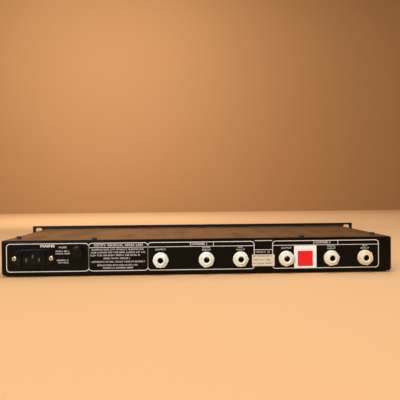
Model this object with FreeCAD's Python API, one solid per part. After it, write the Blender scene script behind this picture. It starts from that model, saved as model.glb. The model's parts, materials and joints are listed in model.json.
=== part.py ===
import FreeCAD, Part
import math
import os

# A one-unit rack effects processor, dual channel, built as its separate pieces. Millimetres.
# +X is to the right seen from behind, +Y runs from the rear panel to the front panel and
# +Z is up. The origin is under the middle of the unit, on the surface it stands on.

# Casing: a folded sheet-steel tray closed by a folded lid
CASE_WIDTH = 436.0
CASE_DEPTH = 200.0
CASE_TOP_Z = 40.7
CASE_BOTTOM_Z = 1.6
SHEET = 1.2
BEND_RADIUS = 2.0
FIT_GAP = 0.1

# Front panel: one rack unit, 19 inches wide
PANEL_WIDTH = 482.6
PANEL_HEIGHT = 43.7
PANEL_THICKNESS = 3.0
SLOT_SPACING_X = 465.1
SLOT_SPACING_Z = 31.75
SLOT_LENGTH = 10.0
SLOT_HEIGHT = 6.7

# Reach of the longest pieces beyond the rear face and the panel face
JACK_REACH = 6.5
KNOB_REACH = 15.5

# Places along the depth
TOTAL_DEPTH = JACK_REACH + CASE_DEPTH + PANEL_THICKNESS + KNOB_REACH
REAR_Y = -TOTAL_DEPTH / 2 + JACK_REACH
PANEL_BACK_Y = REAR_Y + CASE_DEPTH
PANEL_FACE_Y = PANEL_BACK_Y + PANEL_THICKNESS

# Tray, inside the lid
TRAY_HALF = CASE_WIDTH / 2 - SHEET - FIT_GAP
TRAY_TOP_Z = CASE_TOP_Z - SHEET - FIT_GAP
FLOOR_Z = CASE_BOTTOM_Z + SHEET
REAR_FLANGE = 12.0
FRONT_FLANGE = 8.0
WINDOW_HALF = 207.5
WINDOW_BOTTOM_Z = 9.5
WINDOW_TOP_Z = 33.5

# Cover screws: two near the rear edge and one beside each side bend
COVER_SCREW_REAR = (117.0, 6.0)
COVER_SCREW_SIDE = (210.5, 37.0)
COVER_SCREW_LENGTH = 6.0
COVER_SCREW_TURN = 25.0
SCREW_HEAD_RADIUS = 2.9
SCREW_HEAD_HEIGHT = 1.9
SCREW_RADIUS = 1.5
SCREW_HOLE_RADIUS = 1.7
RECESS_WIDTH = 0.7
SIDE_TAB_LENGTH = 20.0
SIDE_TAB_WIDTH = 12.0

# Countersunk screws between the panel and the tray's front frame
PANEL_SCREW_X = 211.5
PANEL_SCREW_HEIGHTS = (6.2, 35.0)
PANEL_SCREW_HEAD_RADIUS = 3.1
PANEL_SCREW_LENGTH = 9.0
PANEL_SCREW_RECESS = (3.2, 1.2)
COUNTERSINK_RADIUS = 3.3
COUNTERSINK_DEPTH = 1.7

# Feet
FOOT_X = 186.0
FOOT_FROM_REAR = 18.0
FOOT_FROM_PANEL = 26.0
FOOT_BOTTOM_RADIUS = 5.4
FOOT_TOP_RADIUS = 6.2

# Quarter-inch jack sockets, two channels of three
JACK_Z = 17.0
JACK_FIRST_X = -42.9
JACK_STEPS = (0.0, 51.2, 89.6)
CHANNEL_STEP = 141.3
JACK_NAMES = ("output_jack", "input_jack", "key_jack")
JACK_BORE_RADIUS = 3.2
JACK_BARREL_RADIUS = 5.9
JACK_HOLE_RADIUS = 6.1
JACK_WASHER_RADIUS = 8.6
JACK_WASHER_THICKNESS = 1.0
JACK_NUT_FLATS = 15.4
JACK_NUT_THICKNESS = 3.6
JACK_BORE_LENGTH = 30.0
JACK_BODY = (15.0, 20.0, 24.0)
JACK_NUT_TURNS = (0.0, 14.0, 2.0, 22.0, 9.0, 41.0)
JACK_NUT_DOME = 1.6
JACK_BARREL_CHAMFER = 0.7
THREAD_GAP = 0.05

# Mains inlet, a flange-mounted three-pin socket
INLET_X = -183.3
INLET_Z = 21.0
INLET_SCREW_OFFSET = 20.0
INLET_SCREW_HEAD = (2.6, 1.7)
INLET_SCREW_LENGTH = 9.0
INLET_NUT_FLATS = 5.5
INLET_NUT_THICKNESS = 2.4
INLET_FLANGE_HALF = 24.8
INLET_FLANGE_END_HALF = 2.4
INLET_FLANGE_SHOULDER = (14.6, 10.3)
INLET_FLANGE_THICKNESS = 2.2
INLET_RIM = (28.0, 20.0)
INLET_RIM_REACH = 4.4
INLET_RIM_EDGE = 0.8
INLET_BODY = (27.4, 18.4)
INLET_BODY_DEPTH = 19.0
INLET_CAVITY = (24.4, 16.2)
INLET_CORNER_CUT = 4.0
INLET_CAVITY_DEPTH = 16.6
PIN_LENGTH = 15.6
PIN_SIZE = (2.0, 4.0)
PIN_EDGE = 0.5
PIN_TAIL = 7.0
EARTH_PIN_Z = 2.3
LINE_PIN_Z = -1.8
LINE_PIN_X = 7.0

# Fuse holder with a quarter-turn cap on a 20 mm fuse
FUSE_X = -133.9
FUSE_Z = 27.0
FUSE_FLANGE_RADIUS = 7.4
FUSE_FLANGE_THICKNESS = 2.0
FUSE_FLANGE_EDGE = 0.8
FUSE_BODY_RADIUS = 5.8
FUSE_BODY_DEPTH = 36.0
FUSE_BORE_RADIUS = 4.4
FUSE_BORE_DEPTH = 33.0
FUSE_CAP_RADIUS = 6.2
FUSE_CAP_THICKNESS = 3.8
FUSE_CAP_PLUG_RADIUS = 4.3
FUSE_CAP_PLUG_DEPTH = 9.0
FUSE_CAP_EDGE = 0.7
FUSE_CAP_GAP = 0.3
FUSE_CAP_SLOT = (1.4, 8.6)
FUSE_CAP_SLOT_DEPTH = 1.5
FUSE_CAP_POCKET_DEPTH = 5.0
FUSE_LINK_GAP = 0.06
NUT_GAP = 0.02
FUSE_NUT_FLATS = 16.0
FUSE_NUT_THICKNESS = 3.0
FUSE_LINK_RADIUS = 2.6
FUSE_LINK_LENGTH = 20.0

# Controls on the front panel. Each channel is a row read from its left end, seen from the front.
CONTROL_Z = 20.0
CHANNEL_STARTS = (214.0, 7.0)
KNOB_PLACES = {
    "low_filter_knob": 11.0,
    "high_filter_knob": 32.0,
    "threshold_knob": 62.0,
    "attack_knob": 90.0,
    "hold_knob": 111.0,
    "decay_knob": 132.0,
    "range_knob": 153.0,
}
SWITCH_PLACES = {"key_switch": 47.0, "mode_switch": 168.0, "duck_switch": 180.0}
LAMP_PLACE = 76.0
LAMP_HEIGHTS = {"red": 30.0, "amber": 22.0, "green": 14.0}
LINK_SWITCH_X = 14.0
KNOB_RADIUS = 7.5
KNOB_GRIP_RADIUS = 6.6
KNOB_TOP_RADIUS = 6.2
KNOB_EDGE = 0.5
KNOB_POINTER = (0.8, 0.4)
KNOB_POINTER_START = 1.5
KNOB_SKIRT = 3.0
KNOB_CLEARANCE = 0.8
KNOB_BORE_DEPTH = 10.0
SPINDLE_RADIUS = 3.0
SPINDLE_GAP = 0.04
SPINDLE_HOLE_RADIUS = 3.5
SPINDLE_TAIL_Y = PANEL_BACK_Y - 8.0
POT_RADIUS = 6.0
POT_DEPTH = 7.0
POT_NECK_RADIUS = 3.6
POT_GAP = 0.3
TOGGLE_BUSH_RADIUS = 3.0
TOGGLE_BUSH_REACH = 5.0
TOGGLE_BORE_RADIUS = 2.35
TOGGLE_BORE_DEPTH = 6.5
TOGGLE_PIVOT_DEPTH = 2.6
TOGGLE_BALL_RADIUS = 2.1
TOGGLE_STEM_RADIUS = 1.15
TOGGLE_TIP_RADIUS = 1.9
TOGGLE_LENGTH = 11.5
TOGGLE_THROW = 11.0
TOGGLE_NUT_FLATS = 8.0
TOGGLE_NUT_THICKNESS = 2.0
TOGGLE_NUT_TURN = 12.0
TOGGLE_NUT_GAP = 0.04
TOGGLE_BODY = (11.0, 9.0, 12.0)
LAMP_RADIUS = 1.5
LAMP_REACH = 1.6
LAMP_TAIL = 3.0

# Mains rocker switch at the end of the panel beside the transformer
ROCKER_X = -200.5
ROCKER_CUTOUT = (13.0, 19.4)
ROCKER_BEZEL = (15.0, 21.4)
ROCKER_BEZEL_THICKNESS = 2.0
ROCKER_BEZEL_EDGE = 0.6
ROCKER_BODY_DEPTH = 16.0
ROCKER_OPENING = (9.6, 15.6)
ROCKER_OPENING_DEPTH = 7.5
ROCKER_WIDTH = 9.0
ROCKER_HALF_HEIGHT = 7.2
ROCKER_PIVOT_Y = PANEL_FACE_Y + 1.0
ROCKER_THROW = 9.0
ROCKER_PROFILE = ((0.0, 2.88, 1.0), (0.0, 1.36, 0.0), (0.0, 2.88, -1.0))
ROCKER_UNDERSIDE = ((0.0, -1.0, -0.94), (0.0, -3.2, 0.0), (0.0, -1.0, 0.94))

# Inside
TRANSFORMER_X = -150.0
TRANSFORMER_Y = 22.0
TRANSFORMER_RADIUS = 38.0
TRANSFORMER_HOLE_RADIUS = 9.0
TRANSFORMER_HEIGHT = 27.0
TRANSFORMER_EDGE = 5.0
CLAMP_PLATE_RADIUS = 22.0
CLAMP_PLATE_THICKNESS = 1.5
CLAMP_BOLT_RADIUS = 2.5
CLAMP_BOLT_HOLE_RADIUS = 2.7
CLAMP_BOLT_HEAD_RADIUS = 4.5
CLAMP_BOLT_HEAD_HEIGHT = 3.0
CLAMP_BOLT_END = 0.6
MAIN_BOARD = (-98.0, 205.0, -66.0, 66.0)
MAIN_BOARD_Z = 10.0
BOARD_THICKNESS = 1.6
STANDOFF_RADIUS = 2.8
STANDOFF_END = 2.0
STANDOFF_XS = (-90.0, 55.0, 197.0)
STANDOFF_YS = (-58.0, 58.0)
CONTROL_BOARD_Y = PANEL_BACK_Y - 13.0
CONTROL_BOARD = (-186.0, 210.0, FLOOR_Z + 1.0, 37.0)
TOGGLE_BOARD_GAP = 1.0
CAPACITOR_RADIUS = 9.0
CAPACITOR_HEIGHT = 23.0
CAPACITOR_Y = 40.0
CAPACITOR_XS = (-84.0, -62.0, -40.0)
REGULATOR = (10.0, 4.5, 15.0)
REGULATOR_XS = (-80.0, -62.0)
HEAT_SINK = (-92.0, -50.0, 16.5, 22.0)
HEAT_SINK_PLATE = 2.0
HEAT_SINK_FIN = (1.5, 6.5)
HEAT_SINK_FIN_STEP = 6
CHIP = (19.2, 6.4, 4.0)
CHIP_XS = (0.0, 32.0, 90.0, 122.0, 160.0)
CHIP_YS = (-30.0, 0.0, 30.0)

# Paper labels on the rear panel
LABEL_THICKNESS = 0.12
SERIAL_LABEL = (59.6, 85.0, 8.8, 21.8)
INVENTORY_STICKER = (107.2, 132.6, 6.4, 31.3)


def vector(x, y, z):
    return FreeCAD.Vector(x, y, z)


X_AXIS = vector(1, 0, 0)
Y_AXIS = vector(0, 1, 0)
Z_AXIS = vector(0, 0, 1)


def block(x0, x1, y0, y1, z0, z1):
    """Box between two corners."""
    return Part.makeBox(x1 - x0, y1 - y0, z1 - z0, vector(x0, y0, z0))


def centred_block(x, z, size, y0, y1):
    """Box of size (width, height) centred on x, z, running from y0 to y1."""
    half_width, half_height = size[0] / 2, size[1] / 2
    return block(x - half_width, x + half_width, y0, y1, z - half_height, z + half_height)


def rod_y(x, z, radius, y0, y1):
    """Cylinder along +Y."""
    return Part.makeCylinder(radius, y1 - y0, vector(x, y0, z), Y_AXIS)


def rod_z(x, y, radius, z0, z1):
    """Cylinder along +Z."""
    return Part.makeCylinder(radius, z1 - z0, vector(x, y, z0), Z_AXIS)


def cone_y(x, z, radius0, radius1, y0, y1):
    """Cone along +Y."""
    return Part.makeCone(radius0, radius1, y1 - y0, vector(x, y0, z), Y_AXIS)


def prism_y(points, y0, y1):
    """Closed outline of (x, z) points carried from y0 to y1."""
    corners = [vector(x, y0, z) for x, z in points]
    face = Part.Face(Part.makePolygon(corners + corners[:1]))
    return face.extrude(vector(0, y1 - y0, 0))


def hexagon_y(x, z, flats, y0, y1, turn=0.0):
    """Hexagonal prism along +Y; flats is the distance across flats."""
    corner = flats / math.sqrt(3)
    angles = [math.radians(turn + 60.0 * step) for step in range(6)]
    return prism_y([(x + corner * math.cos(a), z + corner * math.sin(a)) for a in angles], y0, y1)


def cut(shape, tools):
    """Shape with every tool taken away, cleaned of leftover edges."""
    return shape.cut(list(tools)).removeSplitter()


def join(shapes):
    """One solid from touching or overlapping shapes."""
    return shapes[0].fuse(list(shapes[1:])).removeSplitter()


def rounded(shape, radius, wanted):
    """Shape with a radius on each edge for which wanted(edge) is true."""
    return shape.makeFillet(radius, [edge for edge in shape.Edges if wanted(edge)])


def chamfered(shape, size, wanted):
    """Shape with a chamfer on each edge for which wanted(edge) is true."""
    return shape.makeChamfer(size, [edge for edge in shape.Edges if wanted(edge)])


def lies_at(edge, y=None, z=None):
    """True when both ends of an edge lie at the given y and z."""
    ends = [vertex.Point for vertex in edge.Vertexes]
    at_y = y is None or all(abs(end.y - y) < 1e-6 for end in ends)
    at_z = z is None or all(abs(end.z - z) < 1e-6 for end in ends)
    return at_y and at_z


def save(node, *solids):
    """Write one node; several solids stay separate."""
    shape = solids[0] if len(solids) == 1 else Part.makeCompound(list(solids))
    shape.exportStep("parts/" + node + ".step")


def mirrored_places(places):
    """Each (x, y) and its mirror across x = 0."""
    return [(side * x, y) for x, y in places for side in (-1, 1)]


def jack_places():
    """(name, x) of the six jack sockets from left to right."""
    return [
        ("{}_{}".format(name, channel + 1), JACK_FIRST_X + channel * CHANNEL_STEP + step)
        for channel in range(2)
        for name, step in zip(JACK_NAMES, JACK_STEPS)
    ]


def channel_places(places):
    """(name, x) of one kind of front control on both channels."""
    return [
        ("{}_{}".format(name, channel + 1), start - place)
        for channel, start in enumerate(CHANNEL_STARTS)
        for name, place in places.items()
    ]


def toggle_places():
    """(name, x) of the seven toggle switches."""
    return channel_places(SWITCH_PLACES) + [("stereo_link_switch", LINK_SWITCH_X)]


COVER_SCREWS = mirrored_places([
    (COVER_SCREW_REAR[0], REAR_Y + COVER_SCREW_REAR[1]),
    (COVER_SCREW_SIDE[0], REAR_Y + COVER_SCREW_SIDE[1]),
])
PANEL_SCREWS = [(side * PANEL_SCREW_X, z) for side in (-1, 1) for z in PANEL_SCREW_HEIGHTS]
FEET = mirrored_places([(FOOT_X, REAR_Y + FOOT_FROM_REAR), (FOOT_X, PANEL_BACK_Y - FOOT_FROM_PANEL)])
STANDOFFS = [(x, y) for x in STANDOFF_XS for y in STANDOFF_YS]
PANEL_MIDDLE_Z = PANEL_HEIGHT / 2


def chassis_tray():
    """Folded tray: floor, sides, pierced rear wall and a front frame behind the panel."""
    outer = block(-TRAY_HALF, TRAY_HALF, REAR_Y, PANEL_BACK_Y, CASE_BOTTOM_Z, TRAY_TOP_Z)
    outer = rounded(
        outer, BEND_RADIUS, lambda edge: lies_at(edge, z=CASE_BOTTOM_Z) and edge.Length > CASE_DEPTH
    )
    outer = rounded(outer, SHEET, lambda edge: lies_at(edge, y=REAR_Y, z=TRAY_TOP_Z))
    inside = TRAY_HALF - SHEET
    hollow = block(-inside, inside, REAR_Y + SHEET, PANEL_BACK_Y - SHEET, FLOOR_Z, TRAY_TOP_Z - SHEET)
    mouth = block(
        -inside, inside, REAR_Y + REAR_FLANGE, PANEL_BACK_Y - FRONT_FLANGE, FLOOR_Z, TRAY_TOP_Z
    )
    window = block(
        -WINDOW_HALF, WINDOW_HALF, PANEL_BACK_Y - SHEET, PANEL_BACK_Y, WINDOW_BOTTOM_Z, WINDOW_TOP_Z
    )
    tray = cut(outer, [hollow, mouth, window])
    tab_y = REAR_Y + COVER_SCREW_SIDE[1] - SIDE_TAB_LENGTH / 2
    tabs = [
        block(x, x + SIDE_TAB_WIDTH, tab_y, tab_y + SIDE_TAB_LENGTH, TRAY_TOP_Z - SHEET, TRAY_TOP_Z)
        for x in (-inside, inside - SIDE_TAB_WIDTH)
    ]
    tray = join([tray] + tabs)
    holes = [rod_z(x, y, SCREW_HOLE_RADIUS, TRAY_TOP_Z - SHEET, TRAY_TOP_Z) for x, y in COVER_SCREWS]
    holes += [rod_y(x, JACK_Z, JACK_HOLE_RADIUS, REAR_Y, REAR_Y + SHEET) for _, x in jack_places()]
    holes += [rod_y(FUSE_X, FUSE_Z, FUSE_BODY_RADIUS + FIT_GAP, REAR_Y, REAR_Y + SHEET)]
    inlet_hole = (INLET_BODY[0] + 2 * FIT_GAP, INLET_BODY[1] + 2 * FIT_GAP)
    holes += [centred_block(INLET_X, INLET_Z, inlet_hole, REAR_Y, REAR_Y + SHEET)]
    holes += [
        rod_y(INLET_X + side * INLET_SCREW_OFFSET, INLET_Z, SCREW_HOLE_RADIUS, REAR_Y, REAR_Y + SHEET)
        for side in (-1, 1)
    ]
    holes += [
        rod_y(x, z, SCREW_HOLE_RADIUS, PANEL_BACK_Y - SHEET, PANEL_BACK_Y) for x, z in PANEL_SCREWS
    ]
    holes += [rod_z(x, y, SCREW_HOLE_RADIUS, CASE_BOTTOM_Z, FLOOR_Z) for x, y in STANDOFFS]
    bolt_hole = rod_z(TRANSFORMER_X, TRANSFORMER_Y, CLAMP_BOLT_HOLE_RADIUS, CASE_BOTTOM_Z, FLOOR_Z)
    save("chassis_tray", cut(tray, holes + [bolt_hole]))


def top_cover():
    """Folded lid: flat top and two side skirts outside the tray."""
    half = CASE_WIDTH / 2
    skirt_z = CASE_BOTTOM_Z + BEND_RADIUS
    front = PANEL_BACK_Y - FIT_GAP
    outer = block(-half, half, REAR_Y, front, skirt_z, CASE_TOP_Z)
    outer = rounded(
        outer, BEND_RADIUS, lambda edge: lies_at(edge, z=CASE_TOP_Z) and edge.Length < CASE_WIDTH
    )
    inner_half = half - SHEET
    inner = block(-inner_half, inner_half, REAR_Y, front, skirt_z, CASE_TOP_Z - SHEET)
    holes = [rod_z(x, y, SCREW_HOLE_RADIUS, CASE_TOP_Z - SHEET, CASE_TOP_Z) for x, y in COVER_SCREWS]
    save("top_cover", cut(outer, [inner] + holes))


def recessed_screw(head_radius, head_height, shank_radius, shank_length):
    """Pan-head screw along +Z with its head's underside at z = 0 and a cross recess."""
    head = Part.makeCylinder(head_radius, head_height)
    head = rounded(head, head_height * 0.55, lambda edge: lies_at(edge, z=head_height))
    shank = Part.makeCylinder(shank_radius, shank_length, vector(0, 0, -shank_length))
    reach = head_radius * 0.55
    half = RECESS_WIDTH / 2
    recess = [
        block(-reach, reach, -half, half, head_height * 0.4, head_height),
        block(-half, half, -reach, reach, head_height * 0.4, head_height),
    ]
    return cut(join([head, shank]), recess)


def placed(shape, position, axis, angle):
    """Copy of a shape turned about its origin and moved to a position."""
    moved = shape.copy()
    moved.Placement = FreeCAD.Placement(position, FreeCAD.Rotation(axis, angle))
    return moved


def cover_screws():
    """Black pan-head screws that hold the lid."""
    screw = recessed_screw(SCREW_HEAD_RADIUS, SCREW_HEAD_HEIGHT, SCREW_RADIUS, COVER_SCREW_LENGTH)
    screws = [
        placed(screw, vector(x, y, CASE_TOP_Z), Z_AXIS, COVER_SCREW_TURN * count)
        for count, (x, y) in enumerate(COVER_SCREWS)
    ]
    save("cover_screws", *screws)


def front_panel():
    """Aluminium rack panel with slotted ears and every control's hole."""
    half = PANEL_WIDTH / 2
    plate = block(-half, half, PANEL_BACK_Y, PANEL_FACE_Y, 0, PANEL_HEIGHT)
    plate = chamfered(plate, 0.4, lambda edge: lies_at(edge, y=PANEL_FACE_Y))
    holes = []
    for side_x in (-1, 1):
        for side_z in (-1, 1):
            x = side_x * SLOT_SPACING_X / 2
            z = PANEL_MIDDLE_Z + side_z * SLOT_SPACING_Z / 2
            radius = SLOT_HEIGHT / 2
            straight = SLOT_LENGTH / 2 - radius
            ends = [rod_y(x + end * straight, z, radius, PANEL_BACK_Y, PANEL_FACE_Y) for end in (-1, 1)]
            middle = (2 * straight, SLOT_HEIGHT)
            holes.append(join(ends + [centred_block(x, z, middle, PANEL_BACK_Y, PANEL_FACE_Y)]))
    for _, x in channel_places(KNOB_PLACES):
        holes.append(rod_y(x, CONTROL_Z, SPINDLE_HOLE_RADIUS, PANEL_BACK_Y, PANEL_FACE_Y))
    for _, x in toggle_places():
        holes.append(rod_y(x, CONTROL_Z, TOGGLE_BUSH_RADIUS + FIT_GAP, PANEL_BACK_Y, PANEL_FACE_Y))
    for start in CHANNEL_STARTS:
        for z in LAMP_HEIGHTS.values():
            holes.append(rod_y(start - LAMP_PLACE, z, LAMP_RADIUS + FIT_GAP, PANEL_BACK_Y, PANEL_FACE_Y))
    for x, z in PANEL_SCREWS:
        holes.append(rod_y(x, z, SCREW_HOLE_RADIUS, PANEL_BACK_Y, PANEL_FACE_Y))
        sink_y = PANEL_FACE_Y - COUNTERSINK_DEPTH
        holes.append(cone_y(x, z, SCREW_HOLE_RADIUS, COUNTERSINK_RADIUS, sink_y, PANEL_FACE_Y))
    cutout = (ROCKER_CUTOUT[0] + 2 * FIT_GAP, ROCKER_CUTOUT[1] + 2 * FIT_GAP)
    holes.append(centred_block(ROCKER_X, PANEL_MIDDLE_Z, cutout, PANEL_BACK_Y, PANEL_FACE_Y))
    save("front_panel", cut(plate, holes))


def front_panel_screws():
    """Countersunk screws through the panel into the tray's front frame."""
    screws = []
    face = PANEL_FACE_Y - 1.5 * FIT_GAP
    neck = PANEL_FACE_Y - COUNTERSINK_DEPTH - 0.5 * FIT_GAP
    length, depth = PANEL_SCREW_RECESS
    for x, z in PANEL_SCREWS:
        head = cone_y(x, z, SCREW_RADIUS, PANEL_SCREW_HEAD_RADIUS, neck, face)
        shank = rod_y(x, z, SCREW_RADIUS, PANEL_FACE_Y - PANEL_SCREW_LENGTH, neck)
        recess = [
            centred_block(x, z, (length, RECESS_WIDTH), PANEL_FACE_Y - depth, PANEL_FACE_Y),
            centred_block(x, z, (RECESS_WIDTH, length), PANEL_FACE_Y - depth, PANEL_FACE_Y),
        ]
        screws.append(cut(join([head, shank]), recess))
    save("front_panel_screws", *screws)


def rubber_feet():
    """Low stick-on feet that lift the tray clear of the shelf."""
    feet = [
        Part.makeCone(FOOT_BOTTOM_RADIUS, FOOT_TOP_RADIUS, CASE_BOTTOM_Z, vector(x, y, 0), Z_AXIS)
        for x, y in FEET
    ]
    save("rubber_feet", *feet)


def inlet_flange_outline():
    """Flange outline whose ends taper to the screws."""
    width, height = INLET_FLANGE_SHOULDER
    half, end = INLET_FLANGE_HALF, INLET_FLANGE_END_HALF
    right = [(width, -height), (half, -end), (half, end), (width, height)]
    left = [(-x, -z) for x, z in right]
    return [(INLET_X + x, INLET_Z + z) for x, z in right + left]


def cornered_outline(size):
    """Outline of size (width, height) round the inlet's middle, with its two upper corners cut."""
    half_width, half_height = size[0] / 2, size[1] / 2
    corner = INLET_CORNER_CUT
    points = [
        (-half_width, -half_height),
        (half_width, -half_height),
        (half_width, half_height - corner),
        (half_width - corner, half_height),
        (corner - half_width, half_height),
        (-half_width, half_height - corner),
    ]
    return [(INLET_X + x, INLET_Z + z) for x, z in points]


def mains_inlet():
    """Three-pin inlet: moulded body, pins and its fixings."""
    face = REAR_Y - INLET_RIM_REACH
    flange = prism_y(inlet_flange_outline(), REAR_Y - INLET_FLANGE_THICKNESS, REAR_Y)
    rim = prism_y(cornered_outline(INLET_RIM), face, REAR_Y)
    rim = chamfered(rim, INLET_RIM_EDGE, lambda edge: lies_at(edge, y=face))
    body = centred_block(INLET_X, INLET_Z, INLET_BODY, REAR_Y, REAR_Y + INLET_BODY_DEPTH)
    cavity = prism_y(cornered_outline(INLET_CAVITY), face, face + INLET_CAVITY_DEPTH)
    screw_xs = [INLET_X + side * INLET_SCREW_OFFSET for side in (-1, 1)]
    holes = [rod_y(x, INLET_Z, SCREW_HOLE_RADIUS, face, REAR_Y) for x in screw_xs]
    pin_places = [(0.0, EARTH_PIN_Z), (-LINE_PIN_X, LINE_PIN_Z), (LINE_PIN_X, LINE_PIN_Z)]
    pin_tip = face + INLET_CAVITY_DEPTH - PIN_LENGTH
    pin_tail = REAR_Y + INLET_BODY_DEPTH + PIN_TAIL
    pins = [
        centred_block(INLET_X + x, INLET_Z + z, PIN_SIZE, pin_tip, pin_tail) for x, z in pin_places
    ]
    moulding = cut(join([flange, rim, body]), [cavity] + holes + pins)
    save("mains_inlet_body", moulding)
    pins = [chamfered(pin, PIN_EDGE, lambda edge: lies_at(edge, y=pin_tip)) for pin in pins]
    save("mains_inlet_pins", *pins)
    head_y = REAR_Y - INLET_FLANGE_THICKNESS
    screw = recessed_screw(*INLET_SCREW_HEAD, SCREW_RADIUS, INLET_SCREW_LENGTH)
    screws = [placed(screw, vector(x, head_y, INLET_Z), X_AXIS, 90.0) for x in screw_xs]
    nut_y = REAR_Y + SHEET
    nut_end = nut_y + INLET_NUT_THICKNESS
    nuts = [
        cut(
            hexagon_y(x, INLET_Z, INLET_NUT_FLATS, nut_y, nut_end),
            [rod_y(x, INLET_Z, SCREW_RADIUS + NUT_GAP, nut_y, nut_end)],
        )
        for x in screw_xs
    ]
    save("mains_inlet_screws", *screws, *nuts)


def fuse_holder():
    """Round holder through the rear wall, its nut, the quarter-turn cap and the fuse."""
    flange_y = REAR_Y - FUSE_FLANGE_THICKNESS
    flange = rod_y(FUSE_X, FUSE_Z, FUSE_FLANGE_RADIUS, flange_y, REAR_Y)
    flange = rounded(flange, FUSE_FLANGE_EDGE, lambda edge: lies_at(edge, y=flange_y))
    barrel = rod_y(FUSE_X, FUSE_Z, FUSE_BODY_RADIUS, REAR_Y, REAR_Y + FUSE_BODY_DEPTH)
    bore = rod_y(FUSE_X, FUSE_Z, FUSE_BORE_RADIUS, flange_y, flange_y + FUSE_BORE_DEPTH)
    save("fuse_holder_body", cut(join([flange, barrel]), [bore]))
    nut_y = REAR_Y + SHEET
    nut = hexagon_y(FUSE_X, FUSE_Z, FUSE_NUT_FLATS, nut_y, nut_y + FUSE_NUT_THICKNESS)
    hole = rod_y(FUSE_X, FUSE_Z, FUSE_BODY_RADIUS + NUT_GAP, nut_y, nut_y + FUSE_NUT_THICKNESS)
    save("fuse_holder_nut", cut(nut, [hole]))
    cap_back = flange_y - FUSE_CAP_GAP
    cap_face = cap_back - FUSE_CAP_THICKNESS
    cap = rod_y(FUSE_X, FUSE_Z, FUSE_CAP_RADIUS, cap_face, cap_back)
    cap = chamfered(cap, FUSE_CAP_EDGE, lambda edge: lies_at(edge, y=cap_face))
    plug_end = cap_back + FUSE_CAP_PLUG_DEPTH
    plug = rod_y(FUSE_X, FUSE_Z, FUSE_CAP_PLUG_RADIUS, cap_back, plug_end)
    slot = centred_block(FUSE_X, FUSE_Z, FUSE_CAP_SLOT, cap_face, cap_face + FUSE_CAP_SLOT_DEPTH)
    link_start = plug_end - FUSE_CAP_POCKET_DEPTH
    pocket = rod_y(FUSE_X, FUSE_Z, FUSE_LINK_RADIUS + FUSE_LINK_GAP, link_start, plug_end)
    save("fuse_cap", cut(join([cap, plug]), [slot, pocket]))
    link_y = link_start + FUSE_LINK_GAP
    link = rod_y(FUSE_X, FUSE_Z, FUSE_LINK_RADIUS, link_y, link_y + FUSE_LINK_LENGTH)
    save("fuse_link", link)


def jack_sockets():
    """Six moulded quarter-inch sockets with their washers and hexagonal nuts."""
    washers = []
    nuts = []
    for (name, x), turn in zip(jack_places(), JACK_NUT_TURNS):
        nose_y = REAR_Y - JACK_REACH
        barrel = rod_y(x, JACK_Z, JACK_BARREL_RADIUS, nose_y, REAR_Y + SHEET)
        barrel = chamfered(barrel, JACK_BARREL_CHAMFER, lambda edge: lies_at(edge, y=nose_y))
        width, height, depth = JACK_BODY
        housing = centred_block(x, JACK_Z, (width, height), REAR_Y + SHEET, REAR_Y + SHEET + depth)
        bore = rod_y(x, JACK_Z, JACK_BORE_RADIUS, nose_y, nose_y + JACK_BORE_LENGTH)
        save(name, cut(join([barrel, housing]), [bore]))
        washer_y = REAR_Y - JACK_WASHER_THICKNESS
        washer = rod_y(x, JACK_Z, JACK_WASHER_RADIUS, washer_y, REAR_Y)
        hole = rod_y(x, JACK_Z, JACK_BARREL_RADIUS + THREAD_GAP, nose_y, REAR_Y)
        washers.append(cut(washer, [hole]))
        nut_y = washer_y - JACK_NUT_THICKNESS
        nut = hexagon_y(x, JACK_Z, JACK_NUT_FLATS, nut_y, washer_y, 90.0 + turn)
        dome_radius = JACK_NUT_FLATS / math.sqrt(3) - JACK_NUT_DOME
        dome = cone_y(x, JACK_Z, dome_radius, dome_radius + JACK_NUT_THICKNESS, nut_y, washer_y)
        nuts.append(cut(nut.common(dome), [hole]))
    save("jack_washers", *washers)
    save("jack_nuts", *nuts)


def knobs():
    """Fourteen pointer knobs, each with its potentiometer spindle as a second solid."""
    back_y = PANEL_FACE_Y + KNOB_CLEARANCE
    tip_y = PANEL_FACE_Y + KNOB_REACH
    for name, x in channel_places(KNOB_PLACES):
        skirt = rod_y(x, CONTROL_Z, KNOB_RADIUS, back_y, back_y + KNOB_SKIRT)
        grip = cone_y(x, CONTROL_Z, KNOB_GRIP_RADIUS, KNOB_TOP_RADIUS, back_y + KNOB_SKIRT, tip_y)
        knob = join([skirt, grip])
        knob = chamfered(knob, KNOB_EDGE, lambda edge: lies_at(edge, y=tip_y))
        width, depth = KNOB_POINTER
        low, high = CONTROL_Z + KNOB_POINTER_START, CONTROL_Z + KNOB_RADIUS
        pointer = block(x - width / 2, x + width / 2, tip_y - depth, tip_y, low, high)
        bore_end = back_y + KNOB_BORE_DEPTH
        bore = rod_y(x, CONTROL_Z, SPINDLE_RADIUS + SPINDLE_GAP, back_y, bore_end)
        spindle = rod_y(x, CONTROL_Z, SPINDLE_RADIUS, SPINDLE_TAIL_Y, bore_end - SPINDLE_GAP)
        save(name, cut(knob, [pointer, bore]), spindle)


def potentiometers():
    """Rotary potentiometer bodies behind the panel, soldered to the control board."""
    bodies = []
    body_y = CONTROL_BOARD_Y + BOARD_THICKNESS / 2
    for _, x in channel_places(KNOB_PLACES):
        can = rod_y(x, CONTROL_Z, POT_RADIUS, body_y, body_y + POT_DEPTH)
        neck = rod_y(x, CONTROL_Z, POT_NECK_RADIUS, body_y + POT_DEPTH, PANEL_BACK_Y - POT_GAP)
        bore = rod_y(
            x, CONTROL_Z, SPINDLE_RADIUS + SPINDLE_GAP, SPINDLE_TAIL_Y - POT_GAP, PANEL_BACK_Y
        )
        bodies.append(cut(join([can, neck]), [bore]))
    save("potentiometer_bodies", *bodies)


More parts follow.
